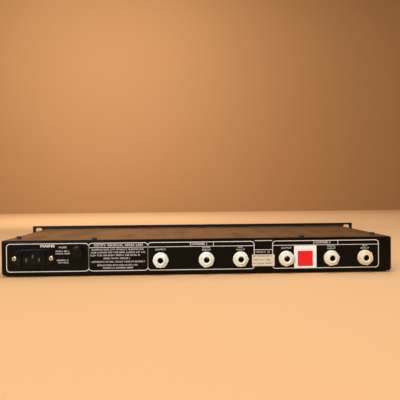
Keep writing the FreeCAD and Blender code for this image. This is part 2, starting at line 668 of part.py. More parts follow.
def toggle_switches():
    """Seven bat-handle toggle switches: levers, bushed bodies and nuts."""
    bodies = []
    nuts = []
    mouth_y = PANEL_FACE_Y + TOGGLE_BUSH_REACH
    pivot_y = mouth_y - TOGGLE_PIVOT_DEPTH
    for name, x in toggle_places():
        width, height, depth = TOGGLE_BODY
        case = centred_block(x, CONTROL_Z, (width, height), PANEL_BACK_Y - depth, PANEL_BACK_Y - POT_GAP)
        bush = rod_y(x, CONTROL_Z, TOGGLE_BUSH_RADIUS, PANEL_BACK_Y - POT_GAP, mouth_y)
        bore = rod_y(x, CONTROL_Z, TOGGLE_BORE_RADIUS, mouth_y - TOGGLE_BORE_DEPTH, mouth_y)
        bodies.append(cut(join([case, bush]), [bore]))
        nut_y = PANEL_FACE_Y + TOGGLE_NUT_THICKNESS
        nut = hexagon_y(x, CONTROL_Z, TOGGLE_NUT_FLATS, PANEL_FACE_Y, nut_y, TOGGLE_NUT_TURN)
        hole = rod_y(x, CONTROL_Z, TOGGLE_BUSH_RADIUS + TOGGLE_NUT_GAP, PANEL_FACE_Y, mouth_y)
        nuts.append(cut(nut, [hole]))
        ball = Part.makeSphere(TOGGLE_BALL_RADIUS, vector(x, pivot_y, CONTROL_Z))
        tip_y = pivot_y + TOGGLE_LENGTH - TOGGLE_TIP_RADIUS
        bat = cone_y(x, CONTROL_Z, TOGGLE_STEM_RADIUS, TOGGLE_TIP_RADIUS, pivot_y, tip_y)
        tip = Part.makeSphere(TOGGLE_TIP_RADIUS, vector(x, tip_y, CONTROL_Z))
        lever = join([ball, bat, tip])
        rest_angle = 0.0 if name.startswith("mode") else -TOGGLE_THROW
        lever.rotate(vector(x, pivot_y, CONTROL_Z), X_AXIS, rest_angle)
        save(name, lever)
    save("toggle_switch_bodies", *bodies)
    save("toggle_switch_nuts", *nuts)


def power_switch():
    """Mains rocker switch: bezelled body and tilting rocker."""
    bezel_face = PANEL_FACE_Y + ROCKER_BEZEL_THICKNESS
    bezel = centred_block(ROCKER_X, PANEL_MIDDLE_Z, ROCKER_BEZEL, PANEL_FACE_Y, bezel_face)
    bezel = chamfered(bezel, ROCKER_BEZEL_EDGE, lambda edge: lies_at(edge, y=bezel_face))
    body = centred_block(
        ROCKER_X, PANEL_MIDDLE_Z, ROCKER_CUTOUT, PANEL_FACE_Y - ROCKER_BODY_DEPTH, PANEL_FACE_Y
    )
    opening = centred_block(
        ROCKER_X, PANEL_MIDDLE_Z, ROCKER_OPENING, bezel_face - ROCKER_OPENING_DEPTH, bezel_face
    )
    save("power_switch_body", cut(join([bezel, body]), [opening]))
    corner = vector(ROCKER_X - ROCKER_WIDTH / 2, ROCKER_PIVOT_Y, PANEL_MIDDLE_Z)
    outline = [
        corner + vector(x, y, share * ROCKER_HALF_HEIGHT)
        for x, y, share in ROCKER_PROFILE + ROCKER_UNDERSIDE
    ]
    face = Part.Face(Part.makePolygon(outline + outline[:1]))
    rocker = face.extrude(vector(ROCKER_WIDTH, 0, 0))
    rocker.rotate(vector(ROCKER_X, ROCKER_PIVOT_Y, PANEL_MIDDLE_Z), X_AXIS, -ROCKER_THROW)
    save("power_switch_rocker", rocker)


def lamps():
    """Status lamps, one of each colour on each channel."""
    for colour, z in LAMP_HEIGHTS.items():
        lenses = []
        for start in CHANNEL_STARTS:
            x = start - LAMP_PLACE
            base_y = PANEL_BACK_Y - LAMP_TAIL
            dome_y = PANEL_FACE_Y + LAMP_REACH - LAMP_RADIUS
            stem = rod_y(x, z, LAMP_RADIUS, base_y, dome_y)
            dome = Part.makeSphere(LAMP_RADIUS, vector(x, dome_y, z))
            lenses.append(join([stem, dome]))
        save("status_lamps_" + colour, *lenses)


def transformer():
    """Toroidal mains transformer held down by a dished plate and a bolt."""
    base_z = FLOOR_Z
    top_z = base_z + TRANSFORMER_HEIGHT
    ring = rod_z(TRANSFORMER_X, TRANSFORMER_Y, TRANSFORMER_RADIUS, base_z, top_z)
    hole = rod_z(TRANSFORMER_X, TRANSFORMER_Y, TRANSFORMER_HOLE_RADIUS, base_z, top_z)
    ring = cut(ring, [hole])
    ring = rounded(
        ring,
        TRANSFORMER_EDGE,
        lambda edge: edge.Closed and (lies_at(edge, z=base_z) or lies_at(edge, z=top_z)),
    )
    save("transformer_winding", ring)
    plate_top = top_z + CLAMP_PLATE_THICKNESS
    head_top = plate_top + CLAMP_BOLT_HEAD_HEIGHT
    bolt_z = CASE_BOTTOM_Z - CLAMP_BOLT_END
    plate = rod_z(TRANSFORMER_X, TRANSFORMER_Y, CLAMP_PLATE_RADIUS, top_z, plate_top)
    hole = rod_z(TRANSFORMER_X, TRANSFORMER_Y, CLAMP_BOLT_HOLE_RADIUS, top_z, plate_top)
    plate = cut(plate, [hole])
    bolt = join([
        rod_z(TRANSFORMER_X, TRANSFORMER_Y, CLAMP_BOLT_RADIUS, bolt_z, plate_top),
        rod_z(TRANSFORMER_X, TRANSFORMER_Y, CLAMP_BOLT_HEAD_RADIUS, plate_top, head_top),
    ])
    save("transformer_clamp", plate, bolt)


def boards():
    """Main board on standoffs, control board behind the panel and the parts they carry."""
    x0, x1, y0, y1 = MAIN_BOARD
    top_z = MAIN_BOARD_Z + BOARD_THICKNESS
    board = block(x0, x1, y0, y1, MAIN_BOARD_Z, top_z)
    holes = [rod_z(x, y, SCREW_HOLE_RADIUS, MAIN_BOARD_Z, top_z) for x, y in STANDOFFS]
    save("main_circuit_board", cut(board, holes))
    pillars = []
    for x, y in STANDOFFS:
        pillar = rod_z(x, y, STANDOFF_RADIUS, FLOOR_Z, MAIN_BOARD_Z)
        pillars.append(join([pillar, rod_z(x, y, SCREW_RADIUS, MAIN_BOARD_Z, top_z + STANDOFF_END)]))
    save("board_standoffs", *pillars)
    control_y = (CONTROL_BOARD_Y - BOARD_THICKNESS / 2, CONTROL_BOARD_Y + BOARD_THICKNESS / 2)
    control = block(*CONTROL_BOARD[:2], *control_y, *CONTROL_BOARD[2:])
    toggle_gap = (TOGGLE_BODY[0] + TOGGLE_BOARD_GAP, TOGGLE_BODY[1] + TOGGLE_BOARD_GAP)
    gaps = [centred_block(x, CONTROL_Z, toggle_gap, *control_y) for _, x in toggle_places()]
    save("control_board", cut(control, gaps))
    cans = [
        rod_z(x, CAPACITOR_Y, CAPACITOR_RADIUS, top_z, top_z + CAPACITOR_HEIGHT) for x in CAPACITOR_XS
    ]
    save("smoothing_capacitors", *cans)
    regulators_and_heat_sink(top_z)
    width, depth, height = CHIP
    chips = [
        block(x - width / 2, x + width / 2, y - depth / 2, y + depth / 2, top_z, top_z + height)
        for x in CHIP_XS
        for y in CHIP_YS
    ]
    save("integrated_circuits", *chips)


def regulators_and_heat_sink(base_z):
    """Two regulators on a finned heat sink that stands on the main board."""
    x0, x1, plate_y, height = HEAT_SINK
    fin_width, fin_depth = HEAT_SINK_FIN
    fin_y = plate_y + HEAT_SINK_PLATE
    width, depth, regulator_height = REGULATOR
    regulators = [
        block(x - width / 2, x + width / 2, plate_y - depth, plate_y, base_z, base_z + regulator_height)
        for x in REGULATOR_XS
    ]
    sink = block(x0, x1, plate_y, fin_y, base_z, base_z + height)
    fins = [
        block(x, x + fin_width, fin_y, fin_y + fin_depth, base_z, base_z + height)
        for x in range(int(x0), int(x1), HEAT_SINK_FIN_STEP)
    ]
    save("regulators_and_heat_sink", *regulators, join([sink] + fins))


def labels():
    """Two paper labels stuck on the rear panel."""
    for node, (x0, x1, z0, z1) in (
        ("serial_label", SERIAL_LABEL),
        ("inventory_sticker", INVENTORY_STICKER),
    ):
        save(node, block(x0, x1, REAR_Y - LABEL_THICKNESS, REAR_Y, z0, z1))


os.makedirs("parts", exist_ok=True)
chassis_tray()
top_cover()
cover_screws()
front_panel()
front_panel_screws()
rubber_feet()
mains_inlet()
fuse_holder()
jack_sockets()
knobs()
potentiometers()
toggle_switches()
power_switch()
lamps()
transformer()
boards()
labels()
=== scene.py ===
"""Looks of a one-unit rack effects processor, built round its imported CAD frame.

Every size in a class is in millimetres. Details are drawn flat on the face they belong to, with
local x to the right, local y upwards and local z standing out of the face, and a Facing puts them
in the frame.
"""

import json
import logging
import math
import random
from dataclasses import dataclass, field
from enum import Enum
from typing import Any, Iterable, Mapping, Sequence

import bmesh
import bpy
from mathutils import Matrix, Vector


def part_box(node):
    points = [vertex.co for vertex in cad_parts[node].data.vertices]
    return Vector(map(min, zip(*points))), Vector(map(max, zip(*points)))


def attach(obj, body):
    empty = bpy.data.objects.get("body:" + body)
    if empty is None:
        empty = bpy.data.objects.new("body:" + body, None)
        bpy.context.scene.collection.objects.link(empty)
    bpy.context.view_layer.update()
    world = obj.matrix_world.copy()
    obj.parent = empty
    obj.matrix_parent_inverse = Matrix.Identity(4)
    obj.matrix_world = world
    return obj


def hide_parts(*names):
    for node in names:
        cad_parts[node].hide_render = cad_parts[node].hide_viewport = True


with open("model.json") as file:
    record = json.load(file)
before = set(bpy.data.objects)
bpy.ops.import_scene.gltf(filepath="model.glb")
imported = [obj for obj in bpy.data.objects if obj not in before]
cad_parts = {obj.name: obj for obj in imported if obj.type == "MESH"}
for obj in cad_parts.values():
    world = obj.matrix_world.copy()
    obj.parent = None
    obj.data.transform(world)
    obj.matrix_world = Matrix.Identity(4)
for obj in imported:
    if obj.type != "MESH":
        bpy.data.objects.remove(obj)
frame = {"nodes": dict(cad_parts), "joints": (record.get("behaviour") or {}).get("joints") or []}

log = logging.getLogger("rack_unit")

MM = 0.001
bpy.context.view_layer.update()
CHASSIS = "chassis"
SMOOTH_BELOW = math.radians(32.0)
NOISE_ROUGHNESS = 0.55
CAPITAL_SHARE = 0.70
WELD_WITHIN = 0.002

Colour = tuple[float, float, float]
Point = tuple[float, float]
Value = Any


def srgb(red: int, green: int, blue: int) -> Colour:
    """Linear colour of an 8-bit display colour.

    Args:
        red: Red from 0 to 255.
        green: Green from 0 to 255.
        blue: Blue from 0 to 255.

    Returns:
        The colour as three linear values.
    """
    def linear(level: int) -> float:
        """One channel made linear."""
        share = level / 255.0
        return share / 12.92 if share <= 0.04045 else ((share + 0.055) / 1.055) ** 2.4

    return linear(red), linear(green), linear(blue)


# Shading ------------------------------------------------------------------------------------


class Field:
    """A shader value that takes part in Python expressions."""

    def __init__(self, graph: "Graph", socket: bpy.types.NodeSocket) -> None:
        """Keeps the graph and the output socket it stands for."""
        self.graph = graph
        self.socket = socket

    def maths(self, operation: str, *values: Value) -> "Field":
        """One Math node.

        Args:
            operation: The node's operation.
            values: Its inputs in order, fields or numbers.

        Returns:
            The result as a field.
        """
        inputs = dict(enumerate(values))
        return self.graph.node("ShaderNodeMath", {"operation": operation}, inputs)

    def __add__(self, other: Value) -> "Field":
        """Sum."""
        return self.maths("ADD", self, other)

    __radd__ = __add__

    def __mul__(self, other: Value) -> "Field":
        """Product."""
        return self.maths("MULTIPLY", self, other)

    __rmul__ = __mul__

    def ramp(self, low: float, high: float) -> "Field":
        """Smooth step from zero at low to one at high."""
        settings = {"interpolation_type": "SMOOTHSTEP"}
        return self.graph.node("ShaderNodeMapRange", settings, {0: self, 1: low, 2: high})


class Graph:
    """The node tree of one material."""

    def __init__(self, name: str) -> None:
        """Starts a material with one Principled shader on its output."""
        self.material = bpy.data.materials.new(name)
        self.material.use_nodes = True
        self.tree = self.material.node_tree
        self.tree.nodes.clear()
        output = self.tree.nodes.new("ShaderNodeOutputMaterial")
        self.shader = self.tree.nodes.new("ShaderNodeBsdfPrincipled")
        self.tree.links.new(self.shader.outputs["BSDF"], output.inputs["Surface"])

    def node(
        self,
        kind: str,
        settings: Mapping[str, Value] | None = None,
        values: Mapping[Any, Value] | None = None,
        output: Any = 0,
    ) -> Field:
        """Adds a node.

        Args:
            kind: The node's type.
            settings: Its properties, set first.
            values: Its inputs by name or number, each a field, a number or a colour.
            output: The output wanted, by name or number.

        Returns:
            That output as a field.
        """
        node = self.tree.nodes.new(kind)
        for key, setting in (settings or {}).items():
            setattr(node, key, setting)
        for key, value in (values or {}).items():
            self.feed(node.inputs[key], value)
        return Field(self, node.outputs[output])

    def feed(self, socket: bpy.types.NodeSocket, value: Value) -> None:
        """Links a field to a socket, or sets the socket's own value."""
        if isinstance(value, Field):
            self.tree.links.new(value.socket, socket)
        elif isinstance(value, tuple) and socket.type == "RGBA":
            socket.default_value = (*value, 1.0)
        else:
            socket.default_value = value

    def place(self, stretch: Colour = (1.0, 1.0, 1.0)) -> Field:
        """Object coordinates, stretched along each axis."""
        coordinates = self.node("ShaderNodeTexCoord", output="Object")
        settings = {"vector_type": "POINT"}
        return self.node("ShaderNodeMapping", settings, {"Vector": coordinates, "Scale": stretch})

    def noise(self, size: float, detail: float, stretch: Colour = (1.0, 1.0, 1.0)) -> Field:
        """Noise with features of about a size in millimetres, from zero to one."""
        values = {
            "Vector": self.place(stretch),
            "Scale": 1.0 / (size * MM),
            "Detail": detail,
            "Roughness": NOISE_ROUGHNESS,
        }
        return self.node("ShaderNodeTexNoise", None, values, "Fac")

    def blend(self, factor: Value, first: Value, second: Value) -> Field:
        """Colour that goes from first to second as factor goes from zero to one."""
        settings = {"data_type": "RGBA"}
        return self.node("ShaderNodeMix", settings, {0: factor, 6: first, 7: second}, 2)

    def bump(self, height: Field, depth: float) -> Field:
        """Normal for a height field that is depth millimetres high."""
        values = {"Height": height, "Distance": depth * MM, "Strength": 1.0}
        return self.node("ShaderNodeBump", None, values, "Normal")

    def finish(self, **sockets: Value) -> bpy.types.Material:
        """Fills the Principled shader's sockets; an underscore in a name is a space.

        Returns:
            The material.
        """
        for name, value in sockets.items():
            self.feed(self.shader.inputs[name.replace("_", " ")], value)
        return self.material


@dataclass(frozen=True)
class PaintFinish:
    """Black stove enamel on sheet steel: fine orange peel, smears and a little dust."""

    name: str
    colour: Colour
    roughness: float
    peel: float = 0.012
    dust: float = 0.12
    dust_colour: Colour = (0.16, 0.13, 0.10)
    smear: float = 0.10
    specular: float = 0.5

    def material(self) -> bpy.types.Material:
        """The finish as a material."""
        graph = Graph(self.name)
        cloud = graph.noise(70.0, 4.0)
        wipes = graph.noise(26.0, 3.0, (1.0, 0.28, 1.0))
        specks = graph.noise(0.9, 2.0).ramp(0.66, 0.78)
        dust = (specks * 0.7 + cloud.ramp(0.45, 0.75) * 0.3) * self.dust
        peel = graph.noise(1.3, 2.0)
        waves = graph.noise(160.0, 1.0)
        normal = graph.bump(peel * 0.8 + waves * 8.0, self.peel)
        return graph.finish(
            Base_Color=graph.blend(dust, self.colour, self.dust_colour),
            Roughness=self.roughness + wipes.ramp(0.35, 0.7) * self.smear,
            Normal=normal,
            Specular_IOR_Level=self.specular,
        )


@dataclass(frozen=True)
class AnodisedFinish:
    """Black anodised aluminium with the long grain of the rolled plate."""

    name: str
    colour: Colour
    roughness: float

    def material(self) -> bpy.types.Material:
        """The finish as a material."""
        graph = Graph(self.name)
        grain = graph.noise(0.8, 3.0, (0.03, 1.0, 1.0))
        cloud = graph.noise(45.0, 3.0)
        lighter = tuple(1.6 * level + 0.006 for level in self.colour)
        return graph.finish(
            Base_Color=graph.blend(grain.ramp(0.4, 0.75), self.colour, lighter),
            Roughness=self.roughness + cloud.ramp(0.3, 0.75) * 0.1 + grain * 0.08,
            Normal=graph.bump(grain, 0.006),
            Specular_IOR_Level=0.2,
        )


@dataclass(frozen=True)
class MouldedFinish:
    """Moulded plastic: slight mottling, faint flow marks and fine surface texture."""

    name: str
    colour: Colour
    shade: Colour
    roughness: float
    mottle: float = 3.0
    texture: float = 0.01
    texture_size: float = 0.5
    glow: float = 0.0
    coat: float = 0.0
    specular: float = 0.5

    def material(self) -> bpy.types.Material:
        """The finish as a material."""
        graph = Graph(self.name)
        clouds = graph.noise(self.mottle, 3.0).ramp(0.35, 0.72)
        flow = graph.noise(1.4, 2.0, (1.0, 0.3, 1.0))
        grain = graph.noise(self.texture_size, 2.0)
        return graph.finish(
            Base_Color=graph.blend(clouds, self.colour, self.shade),
            Roughness=self.roughness + clouds * 0.08 + flow * 0.06,
            Normal=graph.bump(grain + flow * 0.5, self.texture),
            Subsurface_Weight=self.glow,
            Subsurface_Scale=1.2 * MM,
            Coat_Weight=self.coat,
            Coat_Roughness=0.08,
            Specular_IOR_Level=self.specular,
        )


@dataclass(frozen=True)
class MetalFinish:
    """Plated or blackened metal with turning marks and a little tarnish."""

    name: str
    colour: Colour
    tarnish: Colour
    roughness: float
    stretch: Colour = (1.0, 0.15, 1.0)

    def material(self) -> bpy.types.Material:
        """The finish as a material."""
        graph = Graph(self.name)
        marks = graph.noise(0.35, 2.0, self.stretch)
        stain = graph.noise(2.6, 3.0).ramp(0.48, 0.75)
        return graph.finish(
            Base_Color=graph.blend(stain * 0.7, self.colour, self.tarnish),
            Metallic=1.0,
            Roughness=self.roughness + marks * 0.12 + stain * 0.14,
            Normal=graph.bump(marks, 0.004),
        )


@dataclass(frozen=True)
class InkFinish:
    """Screen-printed ink, thin and a little worn."""

    name: str
    colour: Colour
    worn: Colour
    wear: float = 0.35

    def material(self) -> bpy.types.Material:
        """The finish as a material."""
        graph = Graph(self.name)
        patches = graph.noise(2.4, 4.0).ramp(0.5, 0.85)
        grain = graph.noise(0.25, 2.0)
        return graph.finish(
            Base_Color=graph.blend(patches * self.wear, self.colour, self.worn),
            Roughness=0.45 + grain * 0.2,
            Normal=graph.bump(grain, 0.006),
        )


@dataclass(frozen=True)
class PaperFinish:
    """Printed paper or film label with fibres and faint stains."""

    name: str
    colour: Colour
    stain: Colour
    roughness: float = 0.6

    def material(self) -> bpy.types.Material:
        """The finish as a material."""
        graph = Graph(self.name)
        fibres = graph.noise(0.35, 3.0, (0.35, 1.0, 1.0))
        blots = graph.noise(7.0, 3.0).ramp(0.42, 0.8)
        return graph.finish(
            Base_Color=graph.blend(blots * 0.6 + fibres * 0.15, self.colour, self.stain),
            Roughness=self.roughness + fibres * 0.15,
            Normal=graph.bump(fibres, 0.01),
        )


@dataclass(frozen=True)
class RubberFinish:
    """Matt black rubber with dust in its pores."""

    name: str
    colour: Colour

    def material(self) -> bpy.types.Material:
        """The finish as a material."""
        graph = Graph(self.name)
        pores = graph.noise(0.4, 3.0)
        dusty = graph.noise(3.0, 3.0).ramp(0.5, 0.8)
        return graph.finish(
            Base_Color=graph.blend(dusty * 0.4, self.colour, (0.09, 0.08, 0.07)),
            Roughness=0.75 + pores * 0.15,
            Normal=graph.bump(pores, 0.02),
        )


@dataclass(frozen=True)
class LaminateFinish:
    """Circuit board: green resist over copper tracks that show as paler lines."""

    name: str
    colour: Colour
    track: Colour

    def material(self) -> bpy.types.Material:
        """The finish as a material."""
        graph = Graph(self.name)
        settings = {"wave_type": "BANDS", "bands_direction": "X"}
        values = {"Vector": graph.place(), "Scale": 90.0, "Distortion": 6.0, "Detail": 1.0}
        tracks = graph.node("ShaderNodeTexWave", settings, values, "Fac").ramp(0.6, 0.7)
        return graph.finish(
            Base_Color=graph.blend(tracks * 0.6, self.colour, self.track),
            Roughness=0.35 + tracks * 0.1,
            Normal=graph.bump(tracks, 0.02),
        )


@dataclass(frozen=True)
class TapeFinish:
    """Overlapping turns of polyester tape round the transformer."""

    name: str
    colour: Colour
    edge: Colour

    def material(self) -> bpy.types.Material:
        """The finish as a material."""
        graph = Graph(self.name)
        settings = {"wave_type": "BANDS", "bands_direction": "DIAGONAL", "wave_profile": "SAW"}
        values = {"Vector": graph.place(), "Scale": 45.0, "Distortion": 0.6}
        turns = graph.node("ShaderNodeTexWave", settings, values, "Fac")
        return graph.finish(
            Base_Color=graph.blend(turns.ramp(0.75, 1.0), self.colour, self.edge),
            Roughness=0.28 + turns * 0.1,
            Normal=graph.bump(turns, 0.06),
        )


@dataclass(frozen=True)
class PlainFinish:
    """The plain, faintly uneven colour of the studio's floor and wall."""

    name: str
    colour: Colour
    roughness: float = 0.7

    def material(self) -> bpy.types.Material:
        """The finish as a material."""
        graph = Graph(self.name)
        darker = tuple(0.93 * level for level in self.colour)
        cloud = graph.noise(900.0, 2.0)
        return graph.finish(
            Base_Color=graph.blend(cloud, self.colour, darker),
            Roughness=self.roughness,
        )


INK = InkFinish("white_ink", srgb(222, 222, 216), srgb(120, 120, 116))
SMALL_INK = InkFinish("small_print_ink", srgb(196, 196, 190), srgb(104, 104, 100), 0.5)
FAINT_INK = InkFinish("faint_label_print", srgb(84, 72, 64), srgb(136, 118, 102), 0.6)
RED_INK = InkFinish("red_label_print", srgb(234, 8, 10), srgb(206, 12, 14), 0.5)
COVER_PAINT = PaintFinish("cover_enamel", (0.007, 0.0045, 0.003), 0.16, 0.008, 0.04, specular=0.26)
TRAY_PAINT = PaintFinish("tray_enamel", (0.0020, 0.0018, 0.0018), 0.20, 0.006, 0.02, specular=0.12)
PANEL_METAL = AnodisedFinish("black_anodised", (0.007, 0.007, 0.0075), 0.38)
BLACK_SCREW = MetalFinish("blackened_steel", (0.045, 0.042, 0.04), (0.02, 0.018, 0.016), 0.32)
NICKEL = MetalFinish("bright_nickel", (0.80, 0.76, 0.68), (0.46, 0.40, 0.30), 0.18)
# Painted shade: the pins get metal far darker than their bright plating, for their place deep in
# the inlet's cavity.
PIN_METAL = MetalFinish("painted_shade_pin_metal", (0.20, 0.19, 0.17), (0.09, 0.08, 0.07), 0.34)
CHROME = MetalFinish("chrome", (0.86, 0.86, 0.88), (0.62, 0.62, 0.62), 0.08)
ZINC = MetalFinish("zinc_plate", (0.62, 0.63, 0.64), (0.42, 0.42, 0.40), 0.32)
GLOSS_BLACK = MouldedFinish(
    "gloss_black_moulding", (0.003, 0.003, 0.0033), (0.005, 0.005, 0.005), 0.16,
    mottle=6.0, texture=0.004, texture_size=0.8, specular=0.16,
)
SATIN_BLACK = MouldedFinish(
    "satin_black_moulding", (0.012, 0.012, 0.0125), (0.018, 0.018, 0.018), 0.36,
    mottle=5.0, texture_size=0.4,
)
# Painted shade: near-black moulding for the jack bores and the inlet screws' recesses, where only
# shade falls.
PAINTED_SHADE = MouldedFinish("painted_shade_in_holes", (0.02, 0.014, 0.01), (0.01, 0.008, 0.006), 0.5)
RUBBER = RubberFinish("foot_rubber", (0.014, 0.013, 0.013))
LAMINATE = LaminateFinish("board_green", (0.010, 0.075, 0.028), (0.03, 0.16, 0.06))
TAPE = TapeFinish("transformer_tape", (0.55, 0.34, 0.03), (0.32, 0.18, 0.02))


def nylon(name: str, warmth: float) -> MouldedFinish:
    """Natural nylon, yellower as it ages.

    Args:
        name: The finish's name.
        warmth: Age from zero, almost white, to one, warm cream.

    Returns:
        The finish.
    """
    fresh, aged = srgb(241, 250, 242), srgb(240, 224, 184)
    colour = tuple(a + (b - a) * warmth for a, b in zip(fresh, aged))
    shade = tuple(0.86 * level for level in colour)
    return MouldedFinish(
        name, colour, shade, 0.34, mottle=4.0, texture=0.012, texture_size=0.6, glow=0.25
    )


# Geometry -----------------------------------------------------------------------------------


class Facing(Enum):
    """The way a face of the unit looks, as the frame directions of local x, y and z."""

    REAR = ((1, 0, 0), (0, 0, 1), (0, -1, 0))
    FRONT = ((-1, 0, 0), (0, 0, 1), (0, 1, 0))
    TOP = ((1, 0, 0), (0, 1, 0), (0, 0, 1))

    def matrix(self, origin: Vector | None = None) -> Matrix:
        """Turns local millimetres on this face into metres in the frame.

        Args:
            origin: Where local zero is in the frame, or None for the face's own origin.

        Returns:
            The transform.
        """
        turn = Matrix(self.value).transposed().to_4x4()
        start = ORIGINS[self] if origin is None else origin
        return Matrix.Translation(start) @ turn @ Matrix.Scale(MM, 4)

    def spot(self, point: Vector) -> Point:
        """Where a point of the frame falls on this face, in millimetres."""
        across = self.value[0]
        return across[0] * point.x / MM, (point.y if self is Facing.TOP else point.z) / MM


ORIGINS = {
    Facing.REAR: Vector((0.0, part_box("chassis_tray")[0].y, 0.0)),
    Facing.FRONT: Vector((0.0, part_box("front_panel")[1].y, 0.0)),
    Facing.TOP: Vector((0.0, 0.0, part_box("top_cover")[1].z)),
}


class Shaper:
    """Builds one mesh in local millimetres and hands it over as a finished piece."""

    def __init__(self) -> None:
        """Starts with an empty mesh."""
        self.mesh = bmesh.new()

    def block(
        self, low: Sequence[float], high: Sequence[float], edge: float = 0.0, steps: int = 2
    ) -> None:
        """Box between two corners, with rounded edges.

        Args:
            low: Lowest corner.
            high: Highest corner.
            edge: Width of the rounding, or zero.
            steps: Segments in the rounding.
        """
        size = [b - a for a, b in zip(low, high)]
        middle = Vector([(a + b) / 2 for a, b in zip(low, high)])
        matrix = Matrix.Translation(middle) @ Matrix.Diagonal((*size, 1.0))
        verts = bmesh.ops.create_cube(self.mesh, size=1.0, matrix=matrix)["verts"]
        if edge > 0:
            self.round_edges({e for v in verts for e in v.link_edges}, edge, steps)

    def rectangle(
        self, left: float, bottom: float, right: float, top: float, corner: float = 0.0
    ) -> bmesh.types.BMFace:
        """Flat rectangle at height zero.

        Args:
            left: Lowest x.
            bottom: Lowest y.
            right: Highest x.
            top: Highest y.
            corner: Radius of its corners.

        Returns:
            The face.
        """
        middle = Vector(((left + right) / 2.0, (bottom + top) / 2.0, 0.0))
        size = Matrix.Diagonal((right - left, top - bottom, 1.0, 1.0))
        matrix = Matrix.Translation(middle) @ size
        grid = bmesh.ops.create_grid(self.mesh, x_segments=1, y_segments=1, size=0.5, matrix=matrix)
        verts = grid["verts"]
        if corner > 0:
            verts = bmesh.ops.bevel(
                self.mesh,
                geom=verts,
                offset=corner,
                offset_type="OFFSET",
                affect="VERTICES",
                segments=8,
                profile=0.5,
                material=-1,
            )["verts"]
        return next(iter(verts[0].link_faces))

    def flat(self, points: Sequence[Point], height: float) -> bmesh.types.BMFace:
        """Flat face through some points at a height."""
        return self.mesh.faces.new([self.mesh.verts.new((x, y, height)) for x, y in points])

    def carried(
        self, face: bmesh.types.BMFace, rise: float, keep: bool = False
    ) -> bmesh.types.BMFace:
        """Extrudes a face along z.

        Args:
            face: The face.
            rise: How far it goes, up or down.
            keep: Whether the face also stays where it was.

        Returns:
            The face at the far end.
        """
        geometry = bmesh.ops.extrude_face_region(self.mesh, geom=[face])["geom"]
        verts = [item for item in geometry if isinstance(item, bmesh.types.BMVert)]
        bmesh.ops.translate(self.mesh, verts=verts, vec=(0.0, 0.0, rise))
        if not keep:
            bmesh.ops.delete(self.mesh, geom=[face], context="FACES_ONLY")
        return next(item for item in geometry if isinstance(item, bmesh.types.BMFace))

    def margin(self, face: bmesh.types.BMFace, width: float) -> list[bmesh.types.BMFace]:
        """Insets a face, which keeps its middle, and gives the faces of the margin."""
        return bmesh.ops.inset_region(
            self.mesh, faces=[face], thickness=width, use_even_offset=True, use_boundary=True
        )["faces"]

    def round_edges(self, edges: Iterable[bmesh.types.BMEdge], width: float, steps: int) -> None:
        """Rounds some edges."""
        bmesh.ops.bevel(
            self.mesh,
            geom=list(edges),
            offset=width,
            offset_type="OFFSET",
            affect="EDGES",
            segments=steps,
            profile=0.5,
            material=-1,
            clamp_overlap=True,
        )

    def turned(
        self, profile: Sequence[Point], centre: Point = (0.0, 0.0), steps: int = 48
    ) -> None:
        """Turns a profile of (radius, height) points about local z.

        Args:
            profile: Points from one end to the other; a ring's last point repeats its first.
            centre: Where the axis stands.
            steps: Segments round the axis.
        """
        closed = profile[0] == profile[-1]
        points = profile[:-1] if closed else profile
        x, y = centre
        verts = [self.mesh.verts.new((x + radius, y, height)) for radius, height in points]
        pairs = list(zip(verts, verts[1:])) + ([(verts[-1], verts[0])] if closed else [])
        edges = [self.mesh.edges.new(pair) for pair in pairs]
        bmesh.ops.spin(
            self.mesh,
            geom=verts + edges,
            cent=(x, y, 0.0),
            axis=(0.0, 0.0, 1.0),
            dvec=(0.0, 0.0, 0.0),
            angle=math.tau,
            steps=steps,
            use_merge=True,
            use_normal_flip=False,
            use_duplicate=False,
        )
        poles = [v for v in self.mesh.verts if (v.co.x - x) ** 2 + (v.co.y - y) ** 2 < 1e-8]
        bmesh.ops.remove_doubles(self.mesh, verts=poles, dist=1e-4)

    def prism(
        self, outline: Sequence[Point], low: float, high: float, edge: float = 0.0
    ) -> None:
        """Carries a closed outline from one height to another, with its far rim rounded."""
        top = self.carried(self.flat(outline, low), high - low, keep=True)
        if edge > 0:
            self.round_edges(top.edges, edge, 3)

    def hexagon(
        self, flats: float, low: float, high: float, centre: Point, turn: float, bore: float
    ) -> None:
        """Hexagonal nut: a turned blank with a turned-down rim and six flats milled off it.

        Args:
            flats: Distance across the flats.
            low: Height of the seat.
            high: Height of the face.
            centre: Middle of the nut.
            turn: Rotation in degrees.
            bore: Radius of the hole.
        """
        corner = flats / math.sqrt(3.0)
        fall = corner - flats / 2.0
        profile = (
            (bore, low),
            (corner, low),
            (corner, high - fall * 1.1),
            (flats / 2.0 - 0.25, high),
            (bore + 0.35, high),
            (bore, high - 0.35),
            (bore, low),
        )
        blank = Shaper()
        blank.turned(profile, centre, 48)
        for side in range(6):
            angle = math.radians(turn + 60.0 * side)
            normal = Vector((math.cos(angle), math.sin(angle), 0.0))
            mesh = blank.mesh
            cut = bmesh.ops.bisect_plane(
                mesh,
                geom=[*mesh.verts, *mesh.edges, *mesh.faces],
                dist=1e-4,
                plane_co=Vector((*centre, 0.0)) + normal * flats / 2.0,
                plane_no=normal,
                clear_outer=True,
            )["geom_cut"]
            rim = [item for item in cut if isinstance(item, bmesh.types.BMEdge)]
            bmesh.ops.edgeloop_fill(mesh, edges=rim)
        merge(self, blank)

